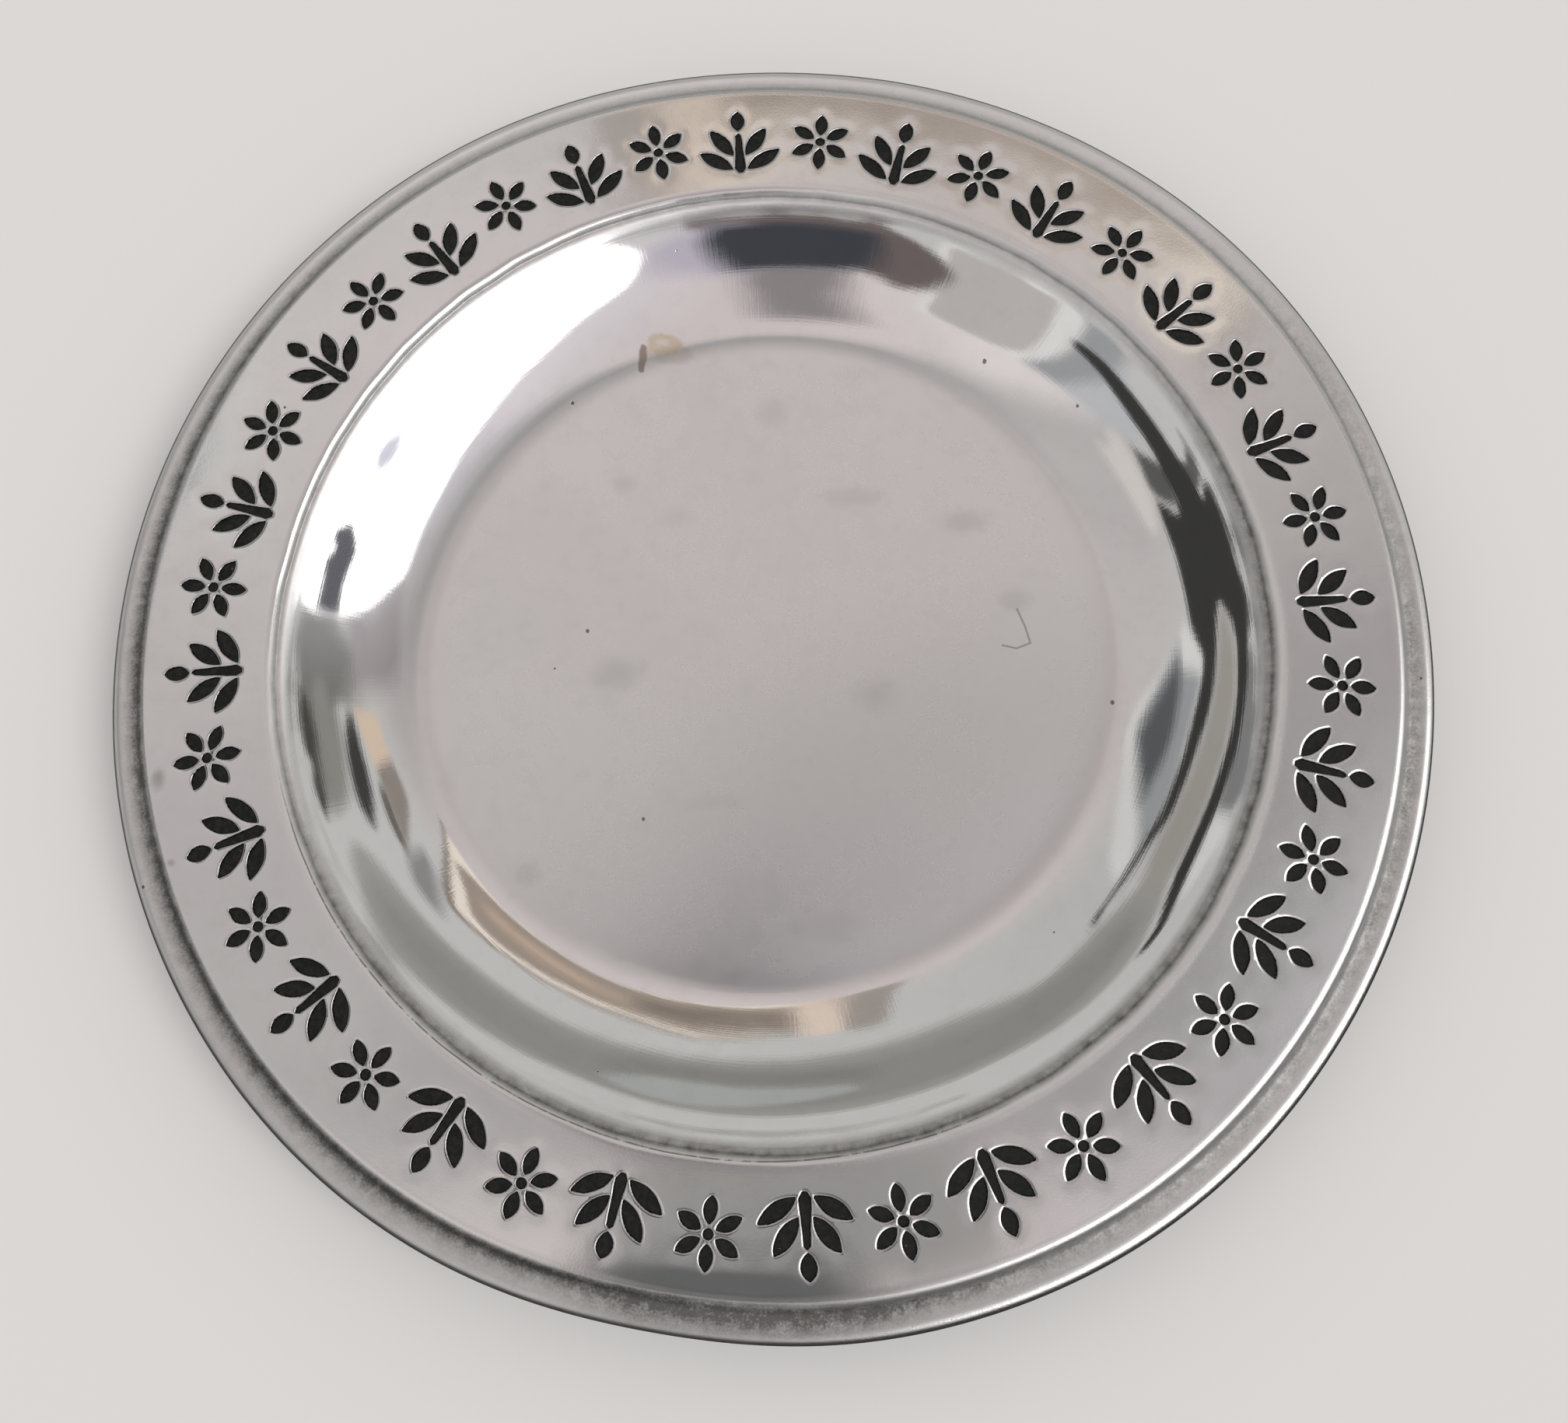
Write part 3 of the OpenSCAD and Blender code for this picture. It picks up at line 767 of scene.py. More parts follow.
def pewter():
    mat = bpy.data.materials.new("pewter")
    mat.use_nodes = True
    g = Graph(mat.node_tree)
    out = g.node("ShaderNodeOutputMaterial")
    bsdf = g.node("ShaderNodeBsdfPrincipled")
    g.put(out.inputs["Surface"], bsdf.outputs[0])
    p = g.vec("SCALE", g.node("ShaderNodeTexCoord").outputs["Object"], scale=1000.0)     # millimetres
    x, y, z = g.xyz(p)
    flatp = g.join(x, y, 0.0)
    r = g.vec("LENGTH", flatp)
    th = g.math("ARCTAN2", y, x)
    a_rough, a_grain, a_patina_shade, a_fig, a_und = (g.attr(k) for k in ("rough", "grain", "patina_and_shade", "figure", "under"))
    above = g.math("SUBTRACT", 1.0, a_und)

    cloud = g.noise(p, 0.030, 3.0, 0.55, 0.6)
    mott = g.noise(p, 0.24, 4.0, 0.6)
    fine = g.noise(p, 2.1, 3.0, 0.6)
    sand = g.noise(p, 5.2, 2.0, 0.6)
    wall_m = g.math("MULTIPLY", g.step(r, 72.0, 80.0), g.step(r, 100.0, 98.0))
    ragged = g.math("MULTIPLY", g.math("SUBTRACT", mott, 0.5), 1.5)

    # dark patina in the hollows, with painted shade where its strength follows the side of the rim
    blot = g.noise(p, 0.42, 4.0, 0.6, 0.4)
    pat_and_shade = g.math("MULTIPLY", a_patina_shade, add_all(
        g, 0.32, g.math("MULTIPLY", blot, 1.35), g.math("MULTIPLY", g.math("SUBTRACT", fine, 0.5), g.math("MULTIPLY", a_grain, 1.3))), clamp=True)
    # a scored line along part of the band's inner edge
    line_d = g.math("ABSOLUTE", g.math("ADD", g.math("SUBTRACT", r, 102.25), g.math("MULTIPLY", g.math("SUBTRACT", cloud, 0.5), 0.8)))
    line_on = g.step(g.math("ABSOLUTE", g.math("ADD", th, 2.05)), 0.95, 0.70)
    score = g.math("MULTIPLY", g.math("MULTIPLY", g.step(line_d, 0.22, 0.06), line_on), g.math("MULTIPLY", g.step(blot, 0.36, 0.52), above))
    # smudges, pits and a hair-thin curved scratch
    smudge = None
    for cx, cy, ax, ay, much in SMUDGES:
        m = g.step(g.math("ADD", oval(g, flatp, cx, cy, ax, ay), ragged), 1.25, 0.15, 0.0, much)
        smudge = m if smudge is None else g.math("MAXIMUM", smudge, m)
    pit = None
    for cx, cy, size in PITS:
        m = g.step(oval(g, flatp, cx, cy, size, size * 1.2), 1.0, 0.5)
        pit = m if pit is None else g.math("MAXIMUM", pit, m)
    vor = g.node("ShaderNodeTexVoronoi", feature="F1")
    g.put(vor.inputs["Vector"], p)
    g.put(vor.inputs["Scale"], 0.13)
    pit_on = g.step(g.xyz(vor.outputs["Color"])[0], 0.88, 0.90)
    pit = g.math("MAXIMUM", pit, g.math("MULTIPLY", g.step(vor.outputs["Distance"], 0.045, 0.022), pit_on))
    scratch = None
    for a, b in zip(HAIRLINE, HAIRLINE[1:]):
        m = stroke(g, flatp, a, b)
        scratch = m if scratch is None else g.math("MINIMUM", scratch, m)
    scratch = g.math("MULTIPLY", g.step(scratch, 0.30, 0.10), 0.55)
    # old yellow-brown spot at the foot of the wall
    spot_d = g.math("ADD", oval(g, flatp, -20.1, 75.0, 4.4, 2.6), ragged)
    spot = g.math("MULTIPLY", g.step(spot_d, 1.1, 0.75), g.step(spot_d, 0.15, 0.6, 0.45, 1.0))
    halo = g.step(g.math("ADD", oval(g, flatp, -17.5, 72.2, 6.0, 2.2), ragged), 1.1, 0.5)
    brown = g.step(g.math("ADD", stroke(g, flatp, (-24.6, 74.2), (-25.4, 69.3)), g.math("MULTIPLY", ragged, 1.3)), 1.0, 0.35)
    # black that crept over the edge of a figure
    creep = g.step(g.math("ADD", a_fig, g.math("MULTIPLY", g.math("SUBTRACT", fine, 0.5), 0.50)), 0.13, 0.04)

    base = g.mix(g.step(cloud, 0.35, 0.68), (0.806, 0.797, 0.786), (0.780, 0.771, 0.760))
    base = g.mix(g.math("MULTIPLY", g.step(mott, 0.46, 0.72), 0.22), base, (0.68, 0.668, 0.652))
    # the base colour is darker over a broad oval on the near right of the well
    near_right_darkening = g.step(oval(g, flatp, 43.0, -35.0, 80.0, 60.0), 1.0, 0.25, 0.0, 0.18)
    base = g.mix(g.math("MULTIPLY", near_right_darkening, above), base, (0.30, 0.29, 0.285))
    band_m = g.math("MULTIPLY", g.math("MULTIPLY", g.step(r, 102.5, 104.5), g.step(r, 129.0, 127.0)), above)
    base = g.mix(g.math("MULTIPLY", band_m, 0.07), base, (0.30, 0.29, 0.285))
    base = g.mix(g.math("MULTIPLY", smudge, above), base, (0.30, 0.28, 0.25))
    base = g.mix(g.math("MULTIPLY", g.math("MULTIPLY", halo, above), 0.22), base, (0.42, 0.31, 0.20))
    base = g.mix(g.math("MULTIPLY", g.math("MULTIPLY", spot, above), 0.50), base, (0.60, 0.46, 0.24))
    base = g.mix(g.math("MULTIPLY", g.math("MULTIPLY", brown, above), 0.70), base, (0.20, 0.135, 0.085))
    # darkened by the patina and by the painted shade carried with it
    base = g.mix(g.math("MULTIPLY", pat_and_shade, 0.88), base, (0.120, 0.115, 0.108))
    base = g.mix(g.math("MULTIPLY", score, 0.75), base, (0.10, 0.095, 0.09))
    base = g.mix(g.math("MULTIPLY", pit, 0.8), base, (0.06, 0.055, 0.05))
    base = g.mix(g.math("MULTIPLY", scratch, above), base, (0.16, 0.13, 0.11))
    base = g.mix(creep, base, (0.012, 0.012, 0.012))
    g.put(bsdf.inputs["Base Color"], base)
    bsdf.inputs["Metallic"].default_value = 1.0

    # fine hairline marks of wiping, in two directions
    hair = None
    wob = g.math("MULTIPLY", cloud, 4.0)
    for ang, seed in ((0.55, 3.1), (2.05, 17.7)):
        c, s = math.cos(ang), math.sin(ang)
        u = g.vec("DOT_PRODUCT", p, (c, s, 0.0))
        v = g.vec("DOT_PRODUCT", p, (-s, c, 0.0))
        q = g.join(g.math("MULTIPLY", u, 0.035), g.math("MULTIPLY", g.math("ADD", v, wob), 1.9), seed)
        h = g.step(g.noise(q, 1.0, 1.0, 0.5), 0.70, 0.80)
        hair = h if hair is None else g.math("MAXIMUM", hair, h)

    rough_v = add_all(
        g, a_rough,
        g.math("MULTIPLY", g.math("SUBTRACT", cloud, 0.5), g.math("MULTIPLY", a_rough, 0.45)),
        g.math("MULTIPLY", g.math("SUBTRACT", mott, 0.5), g.math("MULTIPLY", a_rough, 0.35)),
        g.math("MULTIPLY", pat_and_shade, 0.14), g.math("MULTIPLY", hair, 0.025),
        g.math("MULTIPLY", g.math("ADD", smudge, g.math("MAXIMUM", spot, brown)), g.math("MULTIPLY", above, 0.12)), g.math("MULTIPLY", creep, 0.25))
    g.put(bsdf.inputs["Roughness"], g.math("MINIMUM", rough_v, 0.75))

    # heights in millimetres
    turning = g.noise(g.join(g.math("MULTIPLY", r, 3.2), g.math("MULTIPLY", th, 1.1), 5.0), 1.0, 2.0, 0.6)
    brush = g.noise(g.join(g.math("MULTIPLY", th, 150.0), g.math("MULTIPLY", r, 0.06), 2.0), 1.0, 2.0, 0.6)
    near_in = g.step(r, 109.0, 103.5)
    height = add_all(
        g,
        g.math("MULTIPLY", g.math("MULTIPLY", fine, a_grain), 0.040),
        g.math("MULTIPLY", g.math("MULTIPLY", sand, a_grain), 0.015),
        g.math("MULTIPLY", mott, 0.0035),
        g.math("MULTIPLY", g.math("MULTIPLY", turning, add_all(g, g.math("MULTIPLY", near_in, 0.9), g.math("MULTIPLY", a_und, 2.0), 0.22)), 0.0022),
        g.math("MULTIPLY", g.math("MULTIPLY", brush, wall_m), 0.0020),
        g.math("MULTIPLY", score, -0.015),
        g.math("MULTIPLY", pit, -0.03))
    bump = g.node("ShaderNodeBump")
    bump.inputs["Strength"].default_value = 1.0
    bump.inputs["Distance"].default_value = 0.001
    g.put(bump.inputs["Height"], height)
    g.put(bsdf.inputs["Normal"], bump.outputs[0])
    return mat


def black_fill():
    mat = bpy.data.materials.new("black_fill")
    mat.use_nodes = True
    g = Graph(mat.node_tree)
    out = g.node("ShaderNodeOutputMaterial")
    bsdf = g.node("ShaderNodeBsdfPrincipled")
    g.put(out.inputs["Surface"], bsdf.outputs[0])
    p = g.vec("SCALE", g.node("ShaderNodeTexCoord").outputs["Object"], scale=1000.0)
    lump = g.noise(p, 0.9, 4.0, 0.62)
    fine = g.noise(p, 4.0, 2.0, 0.6)
    speck = g.step(g.noise(p, 1.3, 2.0, 0.7, 0.5), 0.71, 0.77)
    base = g.mix(g.step(lump, 0.38, 0.68), (0.006, 0.006, 0.006), (0.018, 0.018, 0.017))
    base = g.mix(g.math("MULTIPLY", speck, 0.7), base, (0.14, 0.135, 0.13))
    g.put(bsdf.inputs["Base Color"], base)
    g.put(bsdf.inputs["Roughness"], g.step(lump, 0.3, 0.7, 0.50, 0.74))
    bsdf.inputs["Specular IOR Level"].default_value = 0.22
    bump = g.node("ShaderNodeBump")
    bump.inputs["Strength"].default_value = 1.0
    bump.inputs["Distance"].default_value = 0.001
    g.put(bump.inputs["Height"], add_all(g, g.math("MULTIPLY", lump, 0.10), g.math("MULTIPLY", fine, 0.02)))
    g.put(bsdf.inputs["Normal"], bump.outputs[0])
    return mat


plate.data.materials.append(pewter())
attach(plate, "root")
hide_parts("plate_casting")
black = black_fill()
for kind, ob in fills.items():
    ob.data.materials.append(black)
    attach(ob, "root")
    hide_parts(kind + "_inlay")

# ------------------------------------------------------------------ floor
half = 4.0
me = bpy.data.meshes.new("floor")
me.from_pydata([(-half, -half, 0), (half, -half, 0), (half, half, 0), (-half, half, 0)], [], [(0, 1, 2, 3)])
floor = bpy.data.objects.new("floor", me)
scene.collection.objects.link(floor)
fm = bpy.data.materials.new("pale_floor")
fm.use_nodes = True
g = Graph(fm.node_tree)
out = g.node("ShaderNodeOutputMaterial")
bsdf = g.node("ShaderNodeBsdfPrincipled")
g.put(out.inputs["Surface"], bsdf.outputs[0])
bsdf.inputs["Base Color"].default_value = (0.80, 0.796, 0.788, 1.0)
bsdf.inputs["Roughness"].default_value = 0.7
bsdf.inputs["Specular IOR Level"].default_value = 0.2
me.materials.append(fm)
floor.visible_glossy = False

# ------------------------------------------------------------------ soft light all round, by direction
world = bpy.data.worlds.new("studio")
scene.world = world
world.use_nodes = True
g = Graph(world.node_tree)
out = g.node("ShaderNodeOutputWorld")
direction = g.vec("NORMALIZE", g.node("ShaderNodeTexCoord").outputs["Generated"])
dx, dy, dz = g.xyz(direction)
# pale ceiling: lighter and warmer on the far side and on the camera's side, darker overhead and to the right
side_w = g.step(g.math("ABSOLUTE", dx), 0.12, 0.36)
behind = g.step(dy, -0.02, -0.14)
beside = g.math("MULTIPLY", g.step(g.math("ABSOLUTE", dx), 0.22, 0.34), g.step(dy, 0.16, 0.02))
right_far = g.math("MULTIPLY", g.step(dx, 0.18, 0.42), g.step(dy, 0.10, 0.25))
lum = add_all(g, 0.42, g.math("MULTIPLY", g.math("MAXIMUM", dy, 0.0), 0.53), g.math("MULTIPLY", right_far, -0.08),
              g.math("MULTIPLY", g.step(dx, -0.04, -0.20), 0.055), g.math("MULTIPLY", behind, 0.28), g.math("MULTIPLY", beside, 0.07))
warmth = g.math("MULTIPLY", g.math("MAXIMUM", g.step(dy, -0.05, 0.40), behind), g.math("SUBTRACT", 1.0, g.math("MULTIPLY", side_w, 0.5)))
sky = g.mix(warmth, (1.0, 0.965, 0.962), (1.0, 0.905, 0.905))
sky = g.mix(1.0, sky, g.join(lum, lum, lum), "MULTIPLY")
# grey walls, then dark low down
el = g.math("DEGREES", g.math("ARCSINE", dz))
sky = g.mix(g.step(el, 58.0, 49.0), sky, (0.610, 0.608, 0.600))
level = g.math("DIVIDE", dy, g.math("MAXIMUM", g.vec("LENGTH", g.join(dx, dy, 0.0)), 0.001))
horizon = g.math("ADD", g.math("MULTIPLY", level, -4.0), 12.0)
sky = g.mix(g.step(g.math("SUBTRACT", el, horizon), 8.0, -9.0), sky, (0.035, 0.035, 0.034))
shown = g.node("ShaderNodeLightPath").outputs["Is Camera Ray"]
sky = g.mix(shown, sky, (0.80, 0.80, 0.79))
bg = g.node("ShaderNodeBackground")
g.put(bg.inputs["Color"], sky)
bg.inputs["Strength"].default_value = 1.0
g.put(out.inputs["Surface"], bg.outputs[0])


# the bright panel's light on the floor
lamp = bpy.data.lights.new("panel_light", "SUN")
lamp.energy = 1.15
lamp.angle = math.radians(32.0)
lamp.color = (1.0, 0.985, 0.97)
lamp_ob = bpy.data.objects.new("panel_light", lamp)
scene.collection.objects.link(lamp_ob)
lamp_ob.rotation_euler = Vector((0.5237, -0.2669, 0.8090)).to_track_quat("Z", "Y").to_euler()
lamp_ob.visible_glossy = False


# ------------------------------------------------------------------ light and dark panels with soft edges, for the metal only
def closed_curve(corners, n=5, pull=0.36):
    """Smooth closed line through all corners."""
    b = np.array(corners, float)
    a, c, d = np.roll(b, 1, 0), np.roll(b, -1, 0), np.roll(b, -2, 0)
    m, k = pull * (c - a), pull * (d - b)
    rows = []
    for t in np.arange(n) / n:
        rows.append((2 * t ** 3 - 3 * t ** 2 + 1) * b + (t ** 3 - 2 * t ** 2 + t) * m + (3 * t ** 2 - 2 * t ** 3) * c + (t ** 3 - t ** 2) * k)
    return np.stack(rows, 1).reshape(-1, 2)


def soft_panel(corners, soft, amount, gap):
    """Flat triangles of a panel, and how much it covers at each point: fading over its edge."""
    line = closed_curve(corners)
    nxt = np.roll(line, -1, 0)
    if (line[:, 0] * nxt[:, 1] - nxt[:, 0] * line[:, 1]).sum() < 0:
        line = line[::-1]
    run = np.roll(line, -1, 0) - np.roll(line, 1, 0)
    out_n = np.stack([run[:, 1], -run[:, 0]], -1) / np.maximum(np.hypot(run[:, 0], run[:, 1]), 1e-9)[:, None]
    rim = line + soft * out_n
    lo, hi = rim.min(0), rim.max(0)
    gx, gy = np.meshgrid(np.arange(lo[0], hi[0], gap), np.arange(lo[1], hi[1], gap))
    grid = np.stack([gx.ravel(), gy.ravel()], -1)
    grid = grid[in_loop(grid, line)]
    inner = line - soft * out_n
    inner = inner[in_loop(inner, line)]
    inner = inner[nearest(inner, densely(line, 3)) > 0.8 * soft] if len(inner) else inner
    n = len(rim)
    pts = np.concatenate([rim, line, inner, grid])
    cdt = delaunay_2d_cdt([Vector(q) for q in pts], [(i, (i + 1) % n) for i in range(n)], [], 1, 1e-5, True)
    flat = np.array([tuple(v) for v in cdt[0]])
    away_by = nearest(flat, densely(line, 8)) * np.where(in_loop(flat, line), 1.0, -1.0)
    return flat, [tuple(f) for f in cdt[2]], amount * smooth(-soft, soft, away_by)


def stand(name, groups):
    """One object from several panels, given as points in metres, triangles, cover and tone."""
    pts, tri, cover, tone = [], [], [], []
    n0 = 0
    for p, f, c, t in groups:
        pts.append(p)
        tri += [tuple(i + n0 for i in q) for q in f]
        cover.append(c)
        tone.append(np.tile((*t, 1.0), (len(p), 1)))
        n0 += len(p)
    me = bpy.data.meshes.new(name)
    me.from_pydata([tuple(q) for q in np.concatenate(pts)], [], tri)
    me.update()
    me.attributes.new("cover", "FLOAT", "POINT").data.foreach_set("value", np.concatenate(cover).astype(np.float32))
    me.attributes.new("tone", "FLOAT_COLOR", "POINT").data.foreach_set("color", np.concatenate(tone).astype(np.float32).ravel())
    ob = bpy.data.objects.new(name, me)
    scene.collection.objects.link(ob)
    for flag in ("visible_camera", "visible_diffuse", "visible_shadow", "visible_transmission", "visible_volume_scatter"):
        setattr(ob, flag, False)
    mat = bpy.data.materials.new(name)
    mat.use_nodes = True
    g = Graph(mat.node_tree)
    out = g.node("ShaderNodeOutputMaterial")
    emit = g.node("ShaderNodeEmission")
    g.put(emit.inputs["Color"], g.node("ShaderNodeAttribute", attribute_type="GEOMETRY", attribute_name="tone").outputs["Color"])
    blend = g.node("ShaderNodeMixShader")
    g.put(blend.inputs[0], g.attr("cover"))
    g.put(blend.inputs[1], g.node("ShaderNodeBsdfTransparent").outputs[0])
    g.put(blend.inputs[2], emit.outputs[0])
    g.put(out.inputs["Surface"], blend.outputs[0])
    mat.cycles.emission_sampling = "NONE"
    me.materials.append(mat)


# far panels: tone, softness and cover, then corners as azimuth and elevation in degrees; later ones stand before earlier ones
PANELS = (
    # far side
    ((0.375, 0.37, 0.352), 0.9, 1, (
        (41.7, 34.6), (43.8, 31.8), (48.7, 28.8), (56.0, 26.3), (63.9, 26.2), (71.4, 27.2), (80.5, 27.0), (88.9, 27.2),
        (98.2, 28.1), (105.0, 28.5), (112.1, 27.3), (117.7, 27.7), (121.9, 29.9), (125.6, 33.5), (128.0, 37.4),
        (127.8, 40.4), (124.3, 42.4), (118.6, 43.4), (114.7, 43.4), (111.1, 43.2), (107.1, 44.8), (103.1, 46.2),
        (99.5, 46.3), (91.9, 45.3), (86.1, 44.2), (81.0, 42.5), (73.8, 40.0), (64.8, 38.1), (54.8, 36.8), (46.7, 36.5))),
    ((0.3, 0.3, 0.284), 2, 1, (
        (46.8, 33.2), (49.8, 30.1), (56.1, 27.7), (66.3, 27.6), (75.6, 28.6), (84.9, 30.2), (94.2, 30.8), (103.4, 31.7),
        (111.8, 30.7), (118.5, 32.5), (122.6, 36.0), (121.7, 39.8), (114.0, 41.5), (108.5, 42.2), (102.1, 44.0),
        (95.7, 43.8), (88.3, 42.6), (81.5, 40.4), (73.2, 38.0), (64.2, 36.2), (54.5, 35.4))),
    ((0.245, 0.246, 0.238), 1.2, 0.8, (
        (75.0, 34.1), (79.7, 37.3), (85.5, 39.0), (91.7, 39.6), (96.3, 39.1), (96.3, 42.0), (91.8, 42.6), (85.9, 42.3),
        (81.7, 41.1), (77.3, 38.7))),
    ((0.42, 0.435, 0.425), 0.6, 1, (
        (74.5, 30.8), (76.3, 29.5), (82.0, 29.8), (85.6, 31.2), (90.3, 33.5), (94.9, 35.6), (94.2, 37.7), (89.2, 38.1),
        (83.3, 37.5), (79.5, 36.2), (76.2, 33.3))),
    ((0.36, 0.35, 0.33), 0.5, 0.7, (
        (34.2, 30.9), (41.1, 28.8), (49.2, 28.9), (60.6, 22.3), (73.0, 22.2), (84.7, 19.4), (97.0, 21.0), (102.3, 20.5),
        (102.4, 21.7), (93.5, 21.5), (82.3, 21.6), (71.7, 22.8), (60.6, 22.8), (49.3, 28.4), (41.6, 29.6))),
    ((0.392, 0.372, 0.346), 1.2, 1, (
        (127.4, 36.5), (132.2, 36.3), (138.9, 36.6), (146.2, 36.5), (152.1, 37.7), (156.5, 39.5), (158.7, 41.8),
        (158.7, 43.1), (155.3, 43.4), (149.4, 43.1), (142.0, 43.1), (135.6, 43.5), (129.5, 44.1), (126.0, 43.4),
        (124.7, 40.8), (125.4, 38.1))),
    # right
    ((0.354, 0.328, 0.328), 1.6, 1, (
        (13.5, 47.8), (17.0, 53.2), (16.2, 57.5), (14.9, 60.8), (21.7, 60.7), (30.7, 59.9), (29.7, 56.3), (26.8, 49.7),
        (26.9, 45.3), (22.6, 44.7), (17.9, 46.5))),
    ((0.27, 0.265, 0.245), 0.9, 1, (
        (11.0, 38.5), (15.3, 35.8), (20.9, 36.1), (25.6, 35.4), (29.5, 36.0), (36.7, 34.4), (37.0, 35.9), (36.0, 38.1),
        (30.6, 40.6), (26.1, 41.6), (26.5, 44.2), (24.3, 46.5), (20.4, 47.6), (17.9, 46.5), (15.2, 44.5), (12.1, 44.1),
        (11.6, 40.7))),
    ((0.17, 0.172, 0.158), 1, 0.8, (
        (12.4, 39.2), (15.8, 36.9), (22.1, 36.2), (25.2, 37.1), (22.7, 38.6), (22.2, 40.1), (25.3, 40.6), (24.2, 43.3),
        (21.1, 46.3), (18.4, 44.8), (15.5, 42.5), (13.4, 40.9))),
    ((0.31, 0.3, 0.28), 0.7, 0.8, (
        (22.3, 39.5), (24.6, 38.0), (27.8, 37.0), (36.1, 35.7), (35.8, 37.6), (29.6, 40.2), (25.2, 40.3))),
    ((0.074, 0.073, 0.067), 0.6, 1, (
        (22.0, 35.9), (25.4, 34.7), (29.1, 33.9), (31.3, 34.2), (33.8, 32.7), (36.3, 32.3), (37.3, 32.7), (35.9, 34.4),
        (32.6, 35.6), (27.8, 37.2), (24.3, 37.0))),
    ((0.054, 0.054, 0.052), 0.6, 1, (
        (27.6, 43.5), (29.2, 42.0), (32.7, 40.5), (37.1, 39.2), (39.6, 39.3), (41.7, 39.5), (40.2, 41.1), (38.3, 42.8),
        (35.0, 44.0), (31.0, 44.5), (28.4, 44.4))),
    ((0.133, 0.12, 0.107), 0.5, 1, (
        (38.4, 45.2), (39.7, 44.2), (43.9, 43.2), (48.1, 42.9), (45.5, 44.6), (40.4, 45.9))),
    ((0.76, 0.61, 0.48), 0.5, 1, (
        (27.8, 45.2), (32.5, 46.0), (36.7, 45.8), (37.1, 47.0), (37.8, 50.9), (33.9, 50.9), (31.3, 50.7))),
    ((0.308, 0.27, 0.243), 0.6, 1, (
        (36.8, 46.2), (41.1, 45.8), (46.5, 44.3), (47.6, 44.3), (45.7, 47.6), (44.4, 50.6), (42.2, 51.3), (37.8, 50.9))),
    ((0.256, 0.252, 0.254), 1.1, 0.9, (
        (48.1, 42.9), (50.8, 40.5), (54.5, 40.6), (54.1, 43.8), (52.6, 46.7), (50.1, 47.4))),
    # far side, higher up
    ((0.27, 0.226, 0.196), 0.22, 1, (
        (53.8, 58.6), (54.1, 54.8), (54.2, 50.1), (54.3, 45.9), (55.3, 44.2), (56.4, 43.8), (60.2, 44.1), (67.3, 44.7),
        (74.2, 45.5), (79.0, 46.3), (82.2, 46.3), (84.1, 46.5), (86.0, 47.4), (88.7, 48.3), (91.6, 49.0), (96.4, 49.3),
        (98.2, 49.3), (98.5, 50.4), (98.7, 51.3), (99.1, 53.4), (97.1, 55.9), (93.1, 56.5), (88.0, 54.4), (82.7, 53.8),
        (77.4, 53.8), (70.1, 55.1), (62.1, 56.2), (57.1, 57.7))),
    ((0.91, 0.82, 0.73), 0.16, 1, (
        (55.5, 57.9), (55.5, 52.5), (55.7, 47.7), (56.3, 45.1), (57.1, 44.7), (60.5, 44.9), (67.5, 45.3), (74.5, 46.1),
        (79.2, 46.8), (82.3, 46.7), (84.3, 46.9), (86.0, 47.7), (88.8, 48.6), (91.7, 49.3), (95.6, 49.7), (95.1, 56.2),
        (92.2, 56.6), (88.0, 54.4), (82.7, 53.8), (77.4, 53.8), (70.1, 55.1), (62.1, 56.2))),
    ((0.82, 0.69, 0.585), 0.3, 1, (
        (91.2, 49.2), (95.6, 49.7), (95.1, 56.2), (92.2, 56.6))),
    ((0.381, 0.318, 0.27), 0.25, 1, (
        (56.8, 53.5), (57.8, 50.4), (58.8, 47.1), (61.1, 46.2), (68.0, 46.3), (74.9, 47.1), (79.5, 47.5), (82.5, 47.3),
        (84.5, 47.5), (86.2, 48.2), (88.9, 49.1), (91.1, 49.4), (92.0, 53.6), (87.9, 53.0), (82.6, 53.2), (77.2, 53.5),
        (69.7, 54.4), (62.5, 55.0))),
    ((0.6, 0.463, 0.36), 1, 0.9, (
        (61.3, 50.3), (64.4, 49.9), (70.4, 49.0), (78.3, 49.1), (78.6, 50.0), (73.8, 50.8), (66.9, 51.7), (62.2, 52.0))),
    ((0.203, 0.177, 0.156), 1, 0.9, (
        (79.9, 49.1), (83.9, 48.4), (87.1, 49.0), (90.5, 49.6), (91.2, 50.6), (87.6, 50.9), (84.3, 50.3), (80.8, 50.6))),
    ((0.381, 0.344, 0.318), 0.35, 1, (
        (95.9, 49.3), (98.2, 49.3), (98.5, 50.4), (98.9, 52.1), (99.1, 53.4), (97.2, 55.2), (95.4, 55.5))),
    # left, from far to near
    ((0.8, 0.795, 0.785), 0.55, 1, (
        (122.1, 46.8), (121.6, 49.0), (122.4, 50.8), (124.2, 52.6), (127.3, 54.9), (129.7, 57.5), (131.5, 58.6),
        (134.1, 58.5), (139.5, 57.3), (145.8, 55.1), (151.0, 52.7), (153.4, 51.4), (153.6, 50.5), (152.5, 48.0),
        (151.1, 46.7), (148.5, 46.5), (142.5, 46.7), (137.1, 46.4), (130.2, 46.5), (125.4, 46.4))),
    ((0.381, 0.392, 0.409), 0.8, 1, (
        (125.2, 46.7), (126.5, 48.6), (128.4, 51.1), (130.7, 53.7), (133.2, 56.2), (134.1, 56.6), (138.2, 56.1),
        (143.9, 55.0), (148.2, 53.4), (150.9, 52.3), (148.0, 51.3), (148.7, 47.3), (142.3, 47.1), (135.2, 46.4),
        (129.3, 46.5))),
    ((0.118, 0.124, 0.13), 1, 1, (
        (128.8, 51.0), (131.8, 50.5), (136.1, 50.1), (140.5, 50.4), (146.4, 51.3), (148.9, 52.4), (146.0, 53.5),
        (140.4, 55.1), (135.3, 56.1), (133.6, 56.2), (131.9, 54.9), (130.1, 53.1))),
    ((0.245, 0.245, 0.255), 0.5, 1, (
